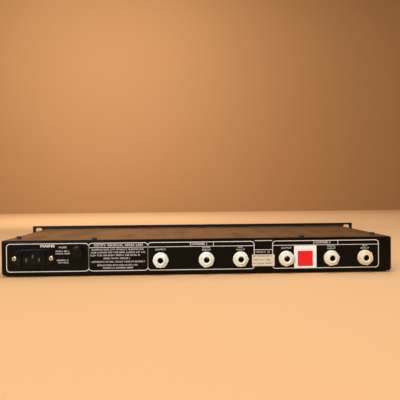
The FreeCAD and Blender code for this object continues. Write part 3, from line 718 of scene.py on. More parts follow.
    def outline(
        self, box: tuple[float, float, float, float], corner: float, line: float, rise: float
    ) -> None:
        """Printed frame: a rounded rectangle drawn as a line.

        Args:
            box: Left, bottom, right and top of the line's outer edge.
            corner: Radius of the outer corners.
            line: Width of the line.
            rise: Thickness of the ink.
        """
        inner = self.rectangle(*box, corner)
        ring = self.margin(inner, line)
        bmesh.ops.delete(self.mesh, geom=[inner], context="FACES_ONLY")
        raised = bmesh.ops.extrude_face_region(self.mesh, geom=ring)["geom"]
        top = [item for item in raised if isinstance(item, bmesh.types.BMVert)]
        bmesh.ops.translate(self.mesh, verts=top, vec=(0.0, 0.0, rise))

    def bar(self, left: float, bottom: float, right: float, top: float, rise: float) -> None:
        """Printed bar."""
        self.block((left, bottom, 0.0), (right, top, rise))

    def lettering(
        self,
        words: str,
        height: float,
        place: Point,
        rise: float,
        weight: float = 0.0,
        width: float | None = None,
    ) -> None:
        """Lettering, as flat solid letters.

        Args:
            words: The letters.
            height: Height of a capital.
            place: Where its middle stands.
            rise: Thickness of the ink.
            weight: How much bolder than the plain face, in millimetres.
            width: Length that the line is drawn out or pressed to, if any.
        """
        curve = bpy.data.curves.new("lettering", "FONT")
        curve.body = words
        curve.size = height / CAPITAL_SHARE
        curve.align_x = "CENTER"
        curve.align_y = "CENTER"
        curve.extrude = rise / 2.0
        curve.offset = weight
        holder = bpy.data.objects.new("lettering", curve)
        letters = bpy.data.meshes.new_from_object(holder)
        stretch = 1.0
        if width is not None and letters.vertices:
            xs = [v.co.x for v in letters.vertices]
            stretch = width / max(max(xs) - min(xs), 1e-6)
        shift = Matrix.Translation((place[0], place[1], rise / 2.0))
        letters.transform(shift @ Matrix.Diagonal((stretch, 1.0, 1.0, 1.0)))
        self.mesh.from_mesh(letters)
        bpy.data.objects.remove(holder)
        bpy.data.curves.remove(curve)
        bpy.data.meshes.remove(letters)

    def greeked(
        self, left: float, right: float, middle: float, height: float, seed: int, rise: float
    ) -> None:
        """A line of print too small to read: short strokes grouped as words.

        Args:
            left: Start of the line.
            right: End of the line.
            middle: Height of its middle.
            height: Height of the strokes.
            seed: Fixes the pattern.
            rise: Thickness of the ink.
        """
        dice = random.Random(seed)
        x = left
        letters_left = dice.randint(3, 8)
        while x < right - 0.5:
            wide = min(height * dice.uniform(0.5, 0.8), right - x)
            low = middle - height / 2.0
            high = middle + height / 2.0
            stem = height * 0.24
            self.bar(x, low, x + stem, high, rise)
            crossing = dice.choice((low, middle - stem / 2.0, high - stem))
            self.bar(x + stem, crossing, x + wide, crossing + stem, rise)
            if dice.random() < 0.55:
                self.bar(x + wide - stem, low, x + wide, high, rise)
            x += wide + height * 0.22
            letters_left -= 1
            if letters_left == 0:
                x += height * 0.5
                letters_left = dice.randint(3, 8)

    def place(self, matrix: Matrix) -> None:
        """Moves everything built so far."""
        self.mesh.transform(matrix)

    def emit(
        self,
        name: str,
        finish: bpy.types.Material,
        facing: Facing,
        slot: str,
        stands_for: str | None = None,
        body: str = CHASSIS,
        origin: Vector | None = None,
    ) -> None:
        """Puts the mesh on a face of the unit as a finished piece.

        Args:
            name: The piece's name.
            finish: Its material.
            facing: The face it is on.
            slot: The material slot of the CAD piece it belongs to; not used.
            stands_for: The CAD node it is shown instead of, if any.
            body: The CAD body it rides on.
            origin: Where local zero is in the frame, if not at the face's own origin.
        """
        bmesh.ops.recalc_face_normals(self.mesh, faces=self.mesh.faces)
        self.mesh.transform(facing.matrix(origin))
        data = bpy.data.meshes.new(name)
        self.mesh.to_mesh(data)
        self.mesh.free()
        data.materials.append(finish)
        data.shade_smooth()
        data.set_sharp_from_angle(angle=SMOOTH_BELOW)
        piece = bpy.data.objects.new(name, data)
        bpy.context.scene.collection.objects.link(piece)
        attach(piece, body)
        if stands_for is not None:
            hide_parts(stands_for)
        log.info("%s: %d faces on %s", name, len(data.polygons), body)


def dress(node: str, finish: bpy.types.Material) -> None:
    """Gives a CAD node its material and smooth bends."""
    piece = frame["nodes"][node]
    piece.data.materials.clear()
    piece.data.materials.append(finish)
    piece.data.shade_smooth()
    weld = piece.modifiers.new("weld", "WELD")
    weld.merge_threshold = WELD_WITHIN * MM
    split = piece.modifiers.new("sharp_edges", "EDGE_SPLIT")
    split.split_angle = SMOOTH_BELOW
    log.info("%s: dressed", node)


def centre_of(node: str) -> Vector:
    """Middle of a CAD node's box, in metres."""
    low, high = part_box(node)
    return (low + high) / 2.0


def joint_place(body: str) -> Vector:
    """Where the joint of a body stands, in metres."""
    joint = next(item for item in frame["joints"] if item["child"] == body)
    return Vector(joint["pos_m"])


@dataclass
class Casework:
    """Tray, lid, their screws and the feet."""

    head_radius: float = 2.9
    head_height: float = 1.9
    rear_screw_x: float = 117.0
    foot_radius: float = 6.2
    foot_height: float = 1.6

    def build(self) -> None:
        """Dresses the sheet metal and makes the screws and feet."""
        dress("chassis_tray", TRAY_PAINT.material())
        dress("top_cover", COVER_PAINT.material())
        self.screws()
        self.feet()

    def screws(self) -> None:
        """Pan-head screws on the lid, black like the paint."""
        low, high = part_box("cover_screws")
        radius, height = self.head_radius, self.head_height
        side_x = (high.x - low.x) / 2.0 / MM - radius
        rear_y = low.y / MM + radius
        side_y = high.y / MM - radius
        profile = (
            (0.0, height - 0.55),
            (1.2, height - 0.55),
            (1.45, height),
            (radius * 0.62, height * 0.97),
            (radius * 0.86, height * 0.78),
            (radius, height * 0.42),
            (radius, 0.0),
            (0.0, 0.0),
        )
        shaper = Shaper()
        for x, y in ((side_x, side_y), (self.rear_screw_x, rear_y)):
            for side in (-1, 1):
                shaper.turned(profile, (side * x, y), 28)
        black = BLACK_SCREW.material()
        shaper.emit("cover_screw_heads", black, Facing.TOP, "screw_black", "cover_screws")

    def feet(self) -> None:
        """Low domed rubber feet under the tray."""
        low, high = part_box("rubber_feet")
        radius, height = self.foot_radius, self.foot_height
        profile = (
            (0.0, 0.0),
            (radius * 0.80, 0.0),
            (radius * 0.90, height * 0.25),
            (radius, height),
            (0.0, height),
        )
        shaper = Shaper()
        for x in (low.x / MM + radius, high.x / MM - radius):
            for y in (low.y / MM + radius, high.y / MM - radius):
                shaper.turned(profile, (x, y), 32)
        rubber, ground = RUBBER.material(), Vector((0.0, 0.0, 0.0))
        shaper.emit("moulded_feet", rubber, Facing.TOP, "foot_rubber", "rubber_feet", origin=ground)


@dataclass(frozen=True)
class PrintFrame:
    """One printed frame on the rear panel: left, right and the bar under its title."""

    left: float
    right: float
    title_line: bool = True


@dataclass(frozen=True)
class Words:
    """Printed words: their middle, the height of a capital, their length and added weight."""

    words: str
    x: float
    z: float
    height: float
    width: float
    weight: float = 0.0


@dataclass(frozen=True)
class SmallPrint:
    """A line too small to read: its ends, the height of its middle, its size and its seed."""

    left: float
    right: float
    z: float
    height: float
    seed: int


@dataclass
class RearPrint:
    """Screen print on the rear panel: frames, titles, jack names and small print."""

    bottom: float = 5.6
    top: float = 37.2
    line: float = 0.8
    thin_line: float = 0.6
    corner: float = 4.0
    ink: float = 0.03
    title_line_z: float = 31.9
    gap_line_z: float = 26.9
    frames: tuple[PrintFrame, ...] = (
        PrintFrame(-213.0, -122.2, False),
        PrintFrame(-122.9, -56.8),
        PrintFrame(-57.5, 62.4),
        PrintFrame(82.5, 204.0),
    )
    title_ends: tuple[float, ...] = (-10.0, 16.0, 129.5, 156.8)
    titles: tuple[Words, ...] = (
        Words("CHANNEL 1", 0.6, 34.6, 2.3, 17.0, 0.06),
        Words("CHANNEL 2", 140.1, 34.6, 2.3, 17.0, 0.06),
        Words("MAINS", -167.9, 34.2, 2.9, 15.8, 0.12),
        Words("FUSE", -151.0, 32.6, 1.9, 8.6),
    )
    jack_step: float = 141.3
    jack_names: tuple[Words, ...] = (
        Words("OUTPUT", -42.9, 28.8, 1.9, 11.6),
        Words("SIGNAL", 8.3, 30.3, 1.65, 9.4),
        Words("INPUT", 8.3, 27.6, 1.65, 9.6),
        Words("KEY", 46.7, 30.3, 1.65, 5.8),
        Words("INPUT", 46.7, 27.6, 1.65, 9.6),
    )
    small_print: tuple[SmallPrint, ...] = (
        SmallPrint(-116.6, -62.6, 34.5, 2.6, 11),
        SmallPrint(-119.4, -60.2, 29.6, 1.8, 20),
        SmallPrint(-120.0, -59.5, 26.4, 1.8, 21),
        SmallPrint(-120.6, -65.9, 23.2, 1.8, 22),
        SmallPrint(-106.2, -76.5, 19.8, 1.8, 23),
        SmallPrint(-119.0, -60.5, 16.0, 1.8, 24),
        SmallPrint(-113.3, -68.5, 12.2, 1.8, 25),
        SmallPrint(-107.0, -72.4, 9.2, 1.8, 26),
        SmallPrint(-158.7, -143.0, 28.4, 1.6, 40),
        SmallPrint(-158.9, -143.2, 25.7, 1.6, 41),
        SmallPrint(-157.8, -144.6, 18.4, 1.6, 42),
        SmallPrint(-156.0, -144.0, 15.7, 1.6, 43),
        SmallPrint(63.9, 74.8, 24.7, 1.7, 50),
        SmallPrint(77.2, 80.6, 24.7, 1.7, 51),
    )

    def build(self) -> None:
        """Prints the panel."""
        self.frame_lines()
        self.lettering()
        self.small()

    def frame_lines(self) -> None:
        """Frames, the bars under the titles, and the line over the maker's number."""
        shaper = Shaper()
        for item in self.frames:
            box = (item.left, self.bottom, item.right, self.top)
            lines = Shaper()
            lines.outline(box, self.corner, self.line, self.ink)
            merge(shaper, lines)
            if item.title_line:
                low, high = (self.title_line_z + s * self.thin_line / 2.0 for s in (-1, 1))
                shaper.bar(item.left + self.line, low, item.right - self.line, high, self.ink)
        for x in self.title_ends:
            shaper.bar(x, self.title_line_z, x + self.thin_line, self.top - self.line, self.ink)
        gap_left, gap_right = self.frames[2].right, self.frames[3].left
        low = self.gap_line_z
        shaper.bar(gap_left, low, gap_right, low + self.thin_line, self.ink)
        shaper.bar(gap_left, self.top - 0.1, gap_right, self.top + self.thin_line, self.ink)
        shaper.emit("rear_frame_lines", INK.material(), Facing.REAR, "tray_paint")

    def lettering(self) -> None:
        """Plain function names over the connectors."""
        shaper = Shaper()
        items = [(item, 0.0) for item in self.titles]
        items += [(item, step) for step in (0.0, self.jack_step) for item in self.jack_names]
        for item, step in items:
            place = (item.x + step, item.z)
            shaper.lettering(item.words, item.height, place, self.ink, item.weight, item.width)
        shaper.emit("rear_lettering", INK.material(), Facing.REAR, "tray_paint")

    def small(self) -> None:
        """Unreadable small print: the notice block, the fuse ratings and the number's caption."""
        shaper = Shaper()
        for item in self.small_print:
            shaper.greeked(item.left, item.right, item.z, item.height, item.seed, self.ink)
        shaper.emit("rear_small_print", SMALL_INK.material(), Facing.REAR, "tray_paint")


def merge(target: Shaper, source: Shaper) -> None:
    """Adds one shaper's mesh to another."""
    data = bpy.data.meshes.new("part")
    source.mesh.to_mesh(data)
    source.mesh.free()
    target.mesh.from_mesh(data)
    bpy.data.meshes.remove(data)


@dataclass
class Jacks:
    """Six quarter-inch sockets in natural nylon, with washers and nuts."""

    washer_radius: float = 8.6
    washer_height: float = 1.0
    nut_flats: float = 15.4
    nut_height: float = 3.6
    barrel_radius: float = 5.85
    barrel_height: float = 6.5
    bore_radius: float = 3.2
    housing_radius: float = 7.4
    housing_depth: float = 24.0
    housing_gap: float = 1.4
    thread_pitch: float = 0.8
    turns: tuple[float, ...] = (30.0, 44.0, 32.0, 52.0, 39.0, 11.0)
    warmth: tuple[float, ...] = (0.05, 0.15, 0.3, 0.35, 0.5, 0.85)
    names: tuple[str, ...] = tuple(
        f"{kind}_jack_{channel}" for channel in (1, 2) for kind in ("output", "input", "key")
    )

    def build(self) -> None:
        """Makes the six sockets."""
        # Painted shade for the inside of each bore.
        well = PAINTED_SHADE.material()
        contact = NICKEL.material()
        for count, name in enumerate(self.names):
            place = Facing.REAR.spot(centre_of(name))
            finish = nylon(name + "_nylon", self.warmth[count]).material()
            self.washer(name, place, finish)
            self.nut(name, place, finish, self.turns[count])
            self.barrel(name, place, finish)
            self.well(name, place, well)
            self.contact(name, place, contact)

    def only_first(self, name: str, node: str) -> str | None:
        """The shared node that the first jack's piece stands for, and nothing for the others."""
        return node if name == self.names[0] else None

    def washer(self, name: str, place: Point, finish: bpy.types.Material) -> None:
        """Round washer with softened rims."""
        radius, height, bore = self.washer_radius, self.washer_height, self.barrel_radius + 0.1
        shaper = Shaper()
        profile = (
            (bore, 0.0),
            (radius, 0.0),
            (radius, height * 0.6),
            (radius - 0.35, height),
            (bore, height),
            (bore, 0.0),
        )
        shaper.turned(profile, place, 56)
        node = self.only_first(name, "jack_washers")
        shaper.emit(name + "_washer", finish, Facing.REAR, "jack_washer_nylon", node)

    def nut(self, name: str, place: Point, finish: bpy.types.Material, turn: float) -> None:
        """Hexagonal nut, each stopped at its own angle."""
        shaper = Shaper()
        low = self.washer_height
        bore = self.barrel_radius - 0.05
        shaper.hexagon(self.nut_flats, low, low + self.nut_height, place, turn, bore)
        node = self.only_first(name, "jack_nuts")
        shaper.emit(name + "_nut", finish, Facing.REAR, "jack_nut_nylon", node)

    def barrel(self, name: str, place: Point, finish: bpy.types.Material) -> None:
        """Threaded barrel with its bore, and the housing behind the panel."""
        radius, top, bore = self.barrel_radius, self.barrel_height, self.bore_radius
        wide, depth, gap = self.housing_radius, self.housing_depth, self.housing_gap
        profile = [(bore, -depth), (wide, -depth), (wide, -gap), (radius, -gap), (radius, 0.0)]
        height = 0.2
        while height < top - 1.0:
            profile += [(radius, height), (radius - 0.32, height + self.thread_pitch / 2.0)]
            height += self.thread_pitch
        profile += [
            (radius, height),
            (radius - 0.7, top),
            (bore + 0.7, top),
            (bore + 0.15, top - 0.35),
            (bore, top - 0.9),
            (bore, -depth),
        ]
        shaper = Shaper()
        shaper.turned(profile, place, 48)
        shaper.emit(name + "_barrel", finish, Facing.REAR, "jack_nylon_" + name, name)

    def well(self, name: str, place: Point, finish: bpy.types.Material) -> None:
        """Painted shade: a dark sleeve lining the bore, for the shade deep inside the socket."""
        bore = self.bore_radius - 0.02
        profile = (
            (bore, self.barrel_height - 2.4),
            (bore, -23.4),
            (0.0, -23.4),
            (0.0, -23.6),
            (bore + 0.01, -23.6),
            (bore + 0.01, self.barrel_height - 2.4),
            (bore, self.barrel_height - 2.4),
        )
        shaper = Shaper()
        shaper.turned(profile, place, 32)
        shaper.emit(name + "_well", finish, Facing.REAR, "jack_nylon_" + name)

    def contact(self, name: str, place: Point, finish: bpy.types.Material) -> None:
        """Sprung contact that shows deep in the bore."""
        x, y = place
        shaper = Shaper()
        shaper.block((x + 1.2, y - 0.9, -14.0), (x + 2.3, y + 0.9, -6.0), 0.2, 2)
        shaper.emit(name + "_contact", finish, Facing.REAR, "inlet_pin_metal")


@dataclass
class MainsInlet:
    """Three-pin flanged inlet with its screws."""

    flange_half: float = 24.8
    flange_end_half: float = 2.4
    shoulder: Point = (14.6, 10.3)
    flange_rise: float = 2.2
    end_radius: float = 1.6
    rim: Point = (28.0, 20.0)
    rim_rise: float = 4.4
    corner_cut: float = 4.0
    wall: float = 1.8
    neck: float = 0.8
    floor: float = 1.6
    cavity_depth: float = 16.6
    screw_offset: float = 20.0
    screw_radius: float = 2.7

    def build(self) -> None:
        """Makes the moulding, the pins and the screws."""
        self.centre = Facing.REAR.spot(centre_of("mains_inlet_body"))
        self.moulding()
        self.screws()
        dress("mains_inlet_pins", PIN_METAL.material())

    def moved(self, points: Iterable[Point]) -> list[Point]:
        """Points measured from the inlet's middle, on the panel."""
        return [(self.centre[0] + x, self.centre[1] + y) for x, y in points]

    def moulding(self) -> None:
        """Flange, and the block with cut upper corners that the plug goes into."""
        width, height = self.shoulder
        half, end, soft = self.flange_half, self.flange_end_half, self.end_radius
        right = [(width, -height), (half - soft, -end - soft), (half, -end), (half, end)]
        right += [(half - soft, end + soft), (width, height)]
        shaper = Shaper()
        shaper.prism(self.moved(right + [(-x, -y) for x, y in right]), 0.0, self.flange_rise, 0.5)
        block = Shaper()
        under = block.flat(self.moved(self.cornered()), 0.0)
        top = block.carried(under, self.rim_rise, keep=True)
        block.margin(under, self.neck)
        block.carried(under, self.rim_rise - self.cavity_depth - self.floor)
        block.margin(top, self.wall)
        mouth = list(top.edges)
        block.carried(top, -self.cavity_depth)
        block.round_edges(mouth, 0.35, 2)
        rim = [
            edge
            for edge in block.mesh.edges
            if edge.is_manifold
            and all(abs(vert.co.z - self.rim_rise) < 1e-3 for vert in edge.verts)
            and any(abs(face.normal.z) < 0.1 for face in edge.link_faces)
        ]
        block.round_edges(rim, 0.7, 4)
        merge(shaper, block)
        gloss = GLOSS_BLACK.material()
        shaper.emit("inlet_moulding", gloss, Facing.REAR, "inlet_plastic", "mains_inlet_body")

    def cornered(self) -> list[Point]:
        """Outline of the block with its upper corners cut."""
        width, height = self.rim[0] / 2.0, self.rim[1] / 2.0
        cut = self.corner_cut
        return [
            (-width, -height),
            (width, -height),
            (width, height - cut),
            (width - cut, height),
            (cut - width, height),
            (-width, height - cut),
        ]

    def screws(self) -> None:
        """Bright pan-head screws at the flange's ends."""
        x, y = self.centre
        radius = self.screw_radius
        head = (
            (0.0, 0.6),
            (0.75, 0.7),
            (0.95, 1.6),
            (radius * 0.72, 1.7),
            (radius * 0.92, 1.25),
            (radius, 0.6),
            (radius, 0.0),
            (0.0, 0.0),
        )
        # Dark discs at the bottom of the screw heads' recesses: painted shade.
        hollow = ((0.0, 0.55), (0.7, 0.55), (0.7, 0.95), (0.0, 0.95))
        shaper, recess = Shaper(), Shaper()
        for side in (-1, 1):
            place = (x + side * self.screw_offset, y)
            shaper.turned(head, place, 32)
            recess.turned(hollow, place, 24)
        lift = Matrix.Translation((0.0, 0.0, self.flange_rise))
        shaper.place(lift)
        recess.place(lift)
        dark, metal, slot = PAINTED_SHADE.material(), NICKEL.material(), "inlet_screw_metal"
        recess.emit("inlet_screw_recess_shade", dark, Facing.REAR, slot)
        shaper.emit("inlet_screw_heads", metal, Facing.REAR, slot, "mains_inlet_screws")


@dataclass
class FuseHolder:
    """Panel fuse holder with a slotted quarter-turn cap."""

    flange_radius: float = 7.4
    flange_rise: float = 2.0
    body_radius: float = 5.8
    bore_radius: float = 4.4
    reach: float = -30.0
    cap_radius: float = 6.2
    cap_low: float = 2.3
    cap_high: float = 6.1
    plug_radius: float = 4.3
    slot_width: float = 1.4
    slot_length: float = 8.6
    rib_count: int = 20

    def build(self) -> None:
        """Makes the holder's flange and the cap."""
        place = Facing.REAR.spot(centre_of("fuse_holder_body"))
        gloss = GLOSS_BLACK.material()
        shaper = Shaper()
        radius, rise, bore = self.flange_radius, self.flange_rise, self.bore_radius
        profile = (
            (bore, self.reach),
            (self.body_radius, self.reach),
            (self.body_radius, 0.0),
            (radius, 0.0),
            (radius, rise * 0.5),
            (radius - 0.25, rise * 0.85),
            (radius - 0.8, rise),
            (bore, rise),
            (bore, self.reach),
        )
        shaper.turned(profile, place, 56)
        slot = "fuse_holder_plastic"
        shaper.emit("fuse_holder_flange", gloss, Facing.REAR, slot, "fuse_holder_body")
        self.cap(place, gloss)
        dress("fuse_holder_nut", SATIN_BLACK.material())
        dress("fuse_link", NICKEL.material())

    def cap(self, place: Point, finish: bpy.types.Material) -> None:
        """Cap with finger ribs and a screwdriver slot."""
        x, y = place
        shaper = Shaper()
        radius, low, high = self.cap_radius, self.cap_low, self.cap_high
        profile = (
            (2.7, low - 8.6),
            (self.plug_radius, low - 8.6),
            (self.plug_radius, low),
            (radius, low),
            (radius, high - 0.8),
            (radius - 0.22, high - 0.24),
            (radius - 0.7, high),
            (radius - 1.2, high),
            (radius - 1.6, high - 0.5),
            (1.2, high - 0.5),
            (0.9, high - 0.9),
            (0.0, high - 0.9),
        )
        lower = ((0.0, low - 3.4), (2.7, low - 3.4))
        shaper.turned(lower + profile, place, 48)
        bar_half = self.slot_length / 2.0 - 0.6
        gap = self.slot_width / 2.0
        for side in (-1, 1):
            inner, outer = sorted((side * gap, side * (gap + 1.1)))
            low_corner = (x + inner, y - bar_half, high - 0.7)
            shaper.block(low_corner, (x + outer, y + bar_half, high), 0.25, 2)
        for count in range(self.rib_count):
            angle = math.tau * count / self.rib_count
            rib = Shaper()
            rib.block((radius - 0.2, -0.35, low + 0.3), (radius + 0.02, 0.35, high - 1.1), 0.1, 1)
            rib.place(Matrix.Translation((x, y, 0.0)) @ Matrix.Rotation(angle, 4, "Z"))
            merge(shaper, rib)
        shaper.emit(
            "fuse_cap_moulding", finish, Facing.REAR, "fuse_cap_plastic", "fuse_cap", "fuse_cap"
        )


@dataclass
class RearLabels:
    """The maker's number label and the owner's sticker."""

    rise: float = 0.12
    print_rise: float = 0.02
    red_inset: tuple[float, float, float, float] = (4.0, 1.7, 4.1, 5.9)

    def build(self) -> None:
        """Makes both labels and their print."""
        paper = PaperFinish("silvery_label", srgb(226, 212, 192), srgb(194, 176, 150), 0.42)
        low, high = self.corners("serial_label")
        self.sheet("serial_label", "number_label", paper.material(), "serial_label_paper")
        shaper = Shaper()
        for count, share in enumerate((0.87, 0.55, 0.24)):
            middle = low[1] + (high[1] - low[1]) * share
            end = high[0] - 2.2 - 3.0 * count % 5
            shaper.greeked(low[0] + 1.4, end, middle, 1.5, 70 + count, self.print_rise)
        shaper.place(Matrix.Translation((0.0, 0.0, self.rise)))
        shaper.emit("number_label_print", FAINT_INK.material(), Facing.REAR, "serial_label_paper")
        white = PaperFinish("white_sticker", srgb(246, 252, 252), srgb(238, 238, 232), 0.38)
        self.sheet("inventory_sticker", "owner_sticker", white.material(), "sticker_paper")
        low, high = self.corners("inventory_sticker")
        left, bottom, right, top = self.red_inset
        shaper = Shaper()
        shaper.block(
            (low[0] + left, low[1] + bottom, self.rise),
            (high[0] - right, high[1] - top, self.rise + self.print_rise),
        )
        shaper.emit("owner_sticker_block", RED_INK.material(), Facing.REAR, "sticker_paper")

    def corners(self, node: str) -> tuple[Point, Point]:
        """Lowest and highest corner of a label on the panel."""
        low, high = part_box(node)
        return Facing.REAR.spot(low), Facing.REAR.spot(high)

    def sheet(self, node: str, name: str, finish: bpy.types.Material, slot: str) -> None:
        """Thin sheet with rounded corners in place of a label node."""
        low, high = self.corners(node)
        shaper = Shaper()
        shaper.carried(shaper.rectangle(*low, *high, 0.8), self.rise, keep=True)
        shaper.emit(name, finish, Facing.REAR, slot, node)


@dataclass
class FrontPanel:
    """Anodised rack panel with its screws and screen print."""

    tick_inner: float = 9.0
    tick_outer: float = 10.4
    tick_width: float = 0.35
    sweep: float = 150.0
    ink: float = 0.03
    name_z: float = 35.0
    power_name_z: float = 36.4
    name_size: float = 1.5
    small_size: float = 1.3
    switch_gap: float = 8.6
    number_size: float = 1.1
    number_gap: float = 1.2
    knob_names: Mapping[str, str] = field(default_factory=lambda: {
        "low_filter_knob": "LF",
        "high_filter_knob": "HF",
        "threshold_knob": "THRESHOLD",
        "attack_knob": "ATTACK",
        "hold_knob": "HOLD",
        "decay_knob": "DECAY",
        "range_knob": "RANGE",
    })
    switch_names: Mapping[str, tuple[str, str]] = field(default_factory=lambda: {
        "key_switch": ("EXT", "INT"),
        "mode_switch": ("KEY", "BYP"),
        "duck_switch": ("DUCK", "GATE"),
        "stereo_link_switch": ("LINK", "DUAL"),
    })

    def build(self) -> None:
        """Dresses the panel and prints it."""
        dress("front_panel", PANEL_METAL.material())
        dress("front_panel_screws", BLACK_SCREW.material())
        self.printed()

    def printed(self) -> None:
        """Scales round the knobs and plain names over the controls."""
        shaper = Shaper()
        for node in sorted(frame["nodes"]):
            kind = node[:-2] if node[-2:] in ("_1", "_2") else node
            if kind in self.knob_names:
                x, y = Facing.FRONT.spot(joint_place(node))
                self.scale(shaper, (x, y))
                shaper.lettering(self.knob_names[kind], self.name_size, (x, self.name_z), self.ink)
            elif kind in self.switch_names:
                x, y = Facing.FRONT.spot(joint_place(node))
                over, under = self.switch_names[kind]
                shaper.lettering(over, self.small_size, (x, y + self.switch_gap), self.ink)
                shaper.lettering(under, self.small_size, (x, y - self.switch_gap), self.ink)
        x = Facing.FRONT.spot(centre_of("power_switch_body"))[0]
        shaper.lettering("POWER", self.name_size, (x, self.power_name_z), self.ink)
        shaper.emit("front_print", INK.material(), Facing.FRONT, "panel_finish")

    def scale(self, shaper: Shaper, centre: Point) -> None:
        """Eleven ticks with a number at each end and in the middle."""
        for step in range(11):
            turn = math.radians(self.sweep - 2.0 * self.sweep * step / 10.0)
            tick = Shaper()
            half = self.tick_width / 2.0
            reach = self.tick_outer if step % 5 == 0 else self.tick_outer - 0.5
            tick.bar(-half, self.tick_inner, half, reach, self.ink)
            tick.place(Matrix.Translation((*centre, 0.0)) @ Matrix.Rotation(turn, 4, "Z"))
            merge(shaper, tick)
        for number in (0, 5, 10):
            turn = math.radians(self.sweep - 2.0 * self.sweep * number / 10.0)
            radius = self.tick_outer + self.number_gap
            place = (centre[0] - radius * math.sin(turn), centre[1] + radius * math.cos(turn))
            shaper.lettering(str(number), self.number_size, place, self.ink)


@dataclass
class Knobs:
    """Fourteen satin black pointer knobs."""

    skirt_radius: float = 7.5
    grip_low_radius: float = 6.6
    grip_top_radius: float = 6.1
    clearance: float = 0.8
    skirt: float = 3.0
    reach: float = 15.5
    ribs: int = 24
    pointer_half: float = 0.35

    def build(self) -> None:
        """Makes every knob with its pointer."""
        black = SATIN_BLACK.material()
        white = INK.material()
        for node in sorted(frame["nodes"]):
            if "_knob_" in node:
                self.knob(node, Facing.FRONT.spot(joint_place(node)), black, white)

    def knob(
        self, node: str, centre: Point, black: bpy.types.Material, white: bpy.types.Material
    ) -> None:
        """One knob.

        Args:
            node: The CAD node and body it stands for.
            centre: Its axis on the panel.
            black: Finish of the moulding.
            white: Finish of the pointer line.
        """
        low, top = self.clearance, self.reach
        mid = low + self.skirt
        shaper = Shaper()
        profile = (
            (3.4, low),
            (self.skirt_radius, low),
            (self.skirt_radius, mid - 0.6),
            (self.skirt_radius - 0.4, mid),
            (self.grip_low_radius + 0.1, mid + 0.15),
            (self.grip_low_radius, mid + 0.6),
            (self.grip_top_radius, top - 0.6),
            (self.grip_top_radius - 0.6, top),
            (self.grip_top_radius - 1.3, top),
            (self.grip_top_radius - 1.4, top - 0.25),
            (0.0, top - 0.25),
            (0.0, low + 10.0),
            (3.4, low + 10.0),
            (3.4, low),
        )
        shaper.turned(profile, (0.0, 0.0), 72)
        grip = self.grip_low_radius
        lean = (grip - self.grip_top_radius) / (top - mid)
        tilt = Matrix.Translation((grip, 0, mid)) @ Matrix.Rotation(-lean, 4, "Y")
        for count in range(self.ribs):
            rib = Shaper()
            rib.block((grip - 0.35, -0.28, mid + 0.5), (grip + 0.12, 0.28, top - 0.9), 0.12, 2)
            rib.place(tilt @ Matrix.Translation((-grip, 0, -mid)))
            rib.place(Matrix.Rotation(math.tau * (count + 0.5) / self.ribs, 4, "Z"))
            merge(shaper, rib)
        shaper.place(Matrix.Translation((*centre, 0.0)))
        shaper.emit(node + "_moulding", black, Facing.FRONT, "knob_plastic", node, node)
        half, skirt = self.pointer_half, self.skirt_radius
        pointer = Shaper()
        over = (half, self.grip_top_radius - 0.5, top - 0.02)
        pointer.block((-half, 1.4, top - 0.26), over, 0.05, 1)
        pointer.block((-half, skirt - 0.35, low + 0.4), (half, skirt, mid - 0.2), 0.05, 1)
        pointer.place(Matrix.Translation((*centre, 0.0)))
        pointer.emit(node + "_pointer", white, Facing.FRONT, "knob_plastic", body=node)


@dataclass
class Switches:
    """Toggle levers with their bushes and nuts, and the mains rocker."""

    ball: float = 2.1
    stem: float = 1.15
    tip: float = 1.9
    length: float = 11.5
    nut_flats: float = 8.0
    nut_height: float = 2.0
    nut_turn: float = 12.0
    nut_bore: float = 3.05
    lean: float = 11.0

    def build(self) -> None:
        """Makes every switch."""
        chrome = CHROME.material()
        zinc = ZINC.material()
        dress("toggle_switch_bodies", zinc)
        nuts = Shaper()
        for node in sorted(frame["nodes"]):
            if node.endswith("_switch") or "_switch_" in node and node[-1] in "12":
                place = joint_place(node)
                rest = 0.0 if node.startswith("mode") else math.radians(self.lean)
                self.lever(node, place, rest, chrome)
                spot, high = Facing.FRONT.spot(place), self.nut_height
                nuts.hexagon(self.nut_flats, 0.0, high, spot, self.nut_turn, self.nut_bore)
        nuts.emit("toggle_nuts", zinc, Facing.FRONT, "toggle_nut_metal", "toggle_switch_nuts")
        dress("power_switch_body", GLOSS_BLACK.material())
        dress("power_switch_rocker", SATIN_BLACK.material())

    def lever(self, node: str, place: Vector, rest: float, finish: bpy.types.Material) -> None:
        """Bat lever, turned about its pivot to where it rests.

        Args:
            node: The CAD node and body it stands for.
            place: Its pivot in the frame.
            rest: How far it leans down at rest, in radians.
            finish: Its material.
        """
        end = self.length
        ball, stem, tip = self.ball, self.stem, self.tip
        profile = [(0.0, -ball)]
        profile += [(ball * math.sin(a), -ball * math.cos(a)) for a in (0.5, 1.0, math.pi / 2, 2.1)]
        profile += [(stem, ball + 0.4), (stem * 1.05, 4.0), (tip * 0.95, end - 2.6)]
        dome = end - tip
        profile += [(tip * math.cos(a), dome + tip * math.sin(a)) for a in (0.0, 0.4, 0.8, 1.2)]
        profile += [(0.0, end)]
        shaper = Shaper()
        shaper.turned(profile, (0.0, 0.0), 32)
        shaper.place(Matrix.Rotation(rest, 4, "X"))
        shaper.emit(node + "_bat", finish, Facing.FRONT, "toggle_chrome", node, node, place)


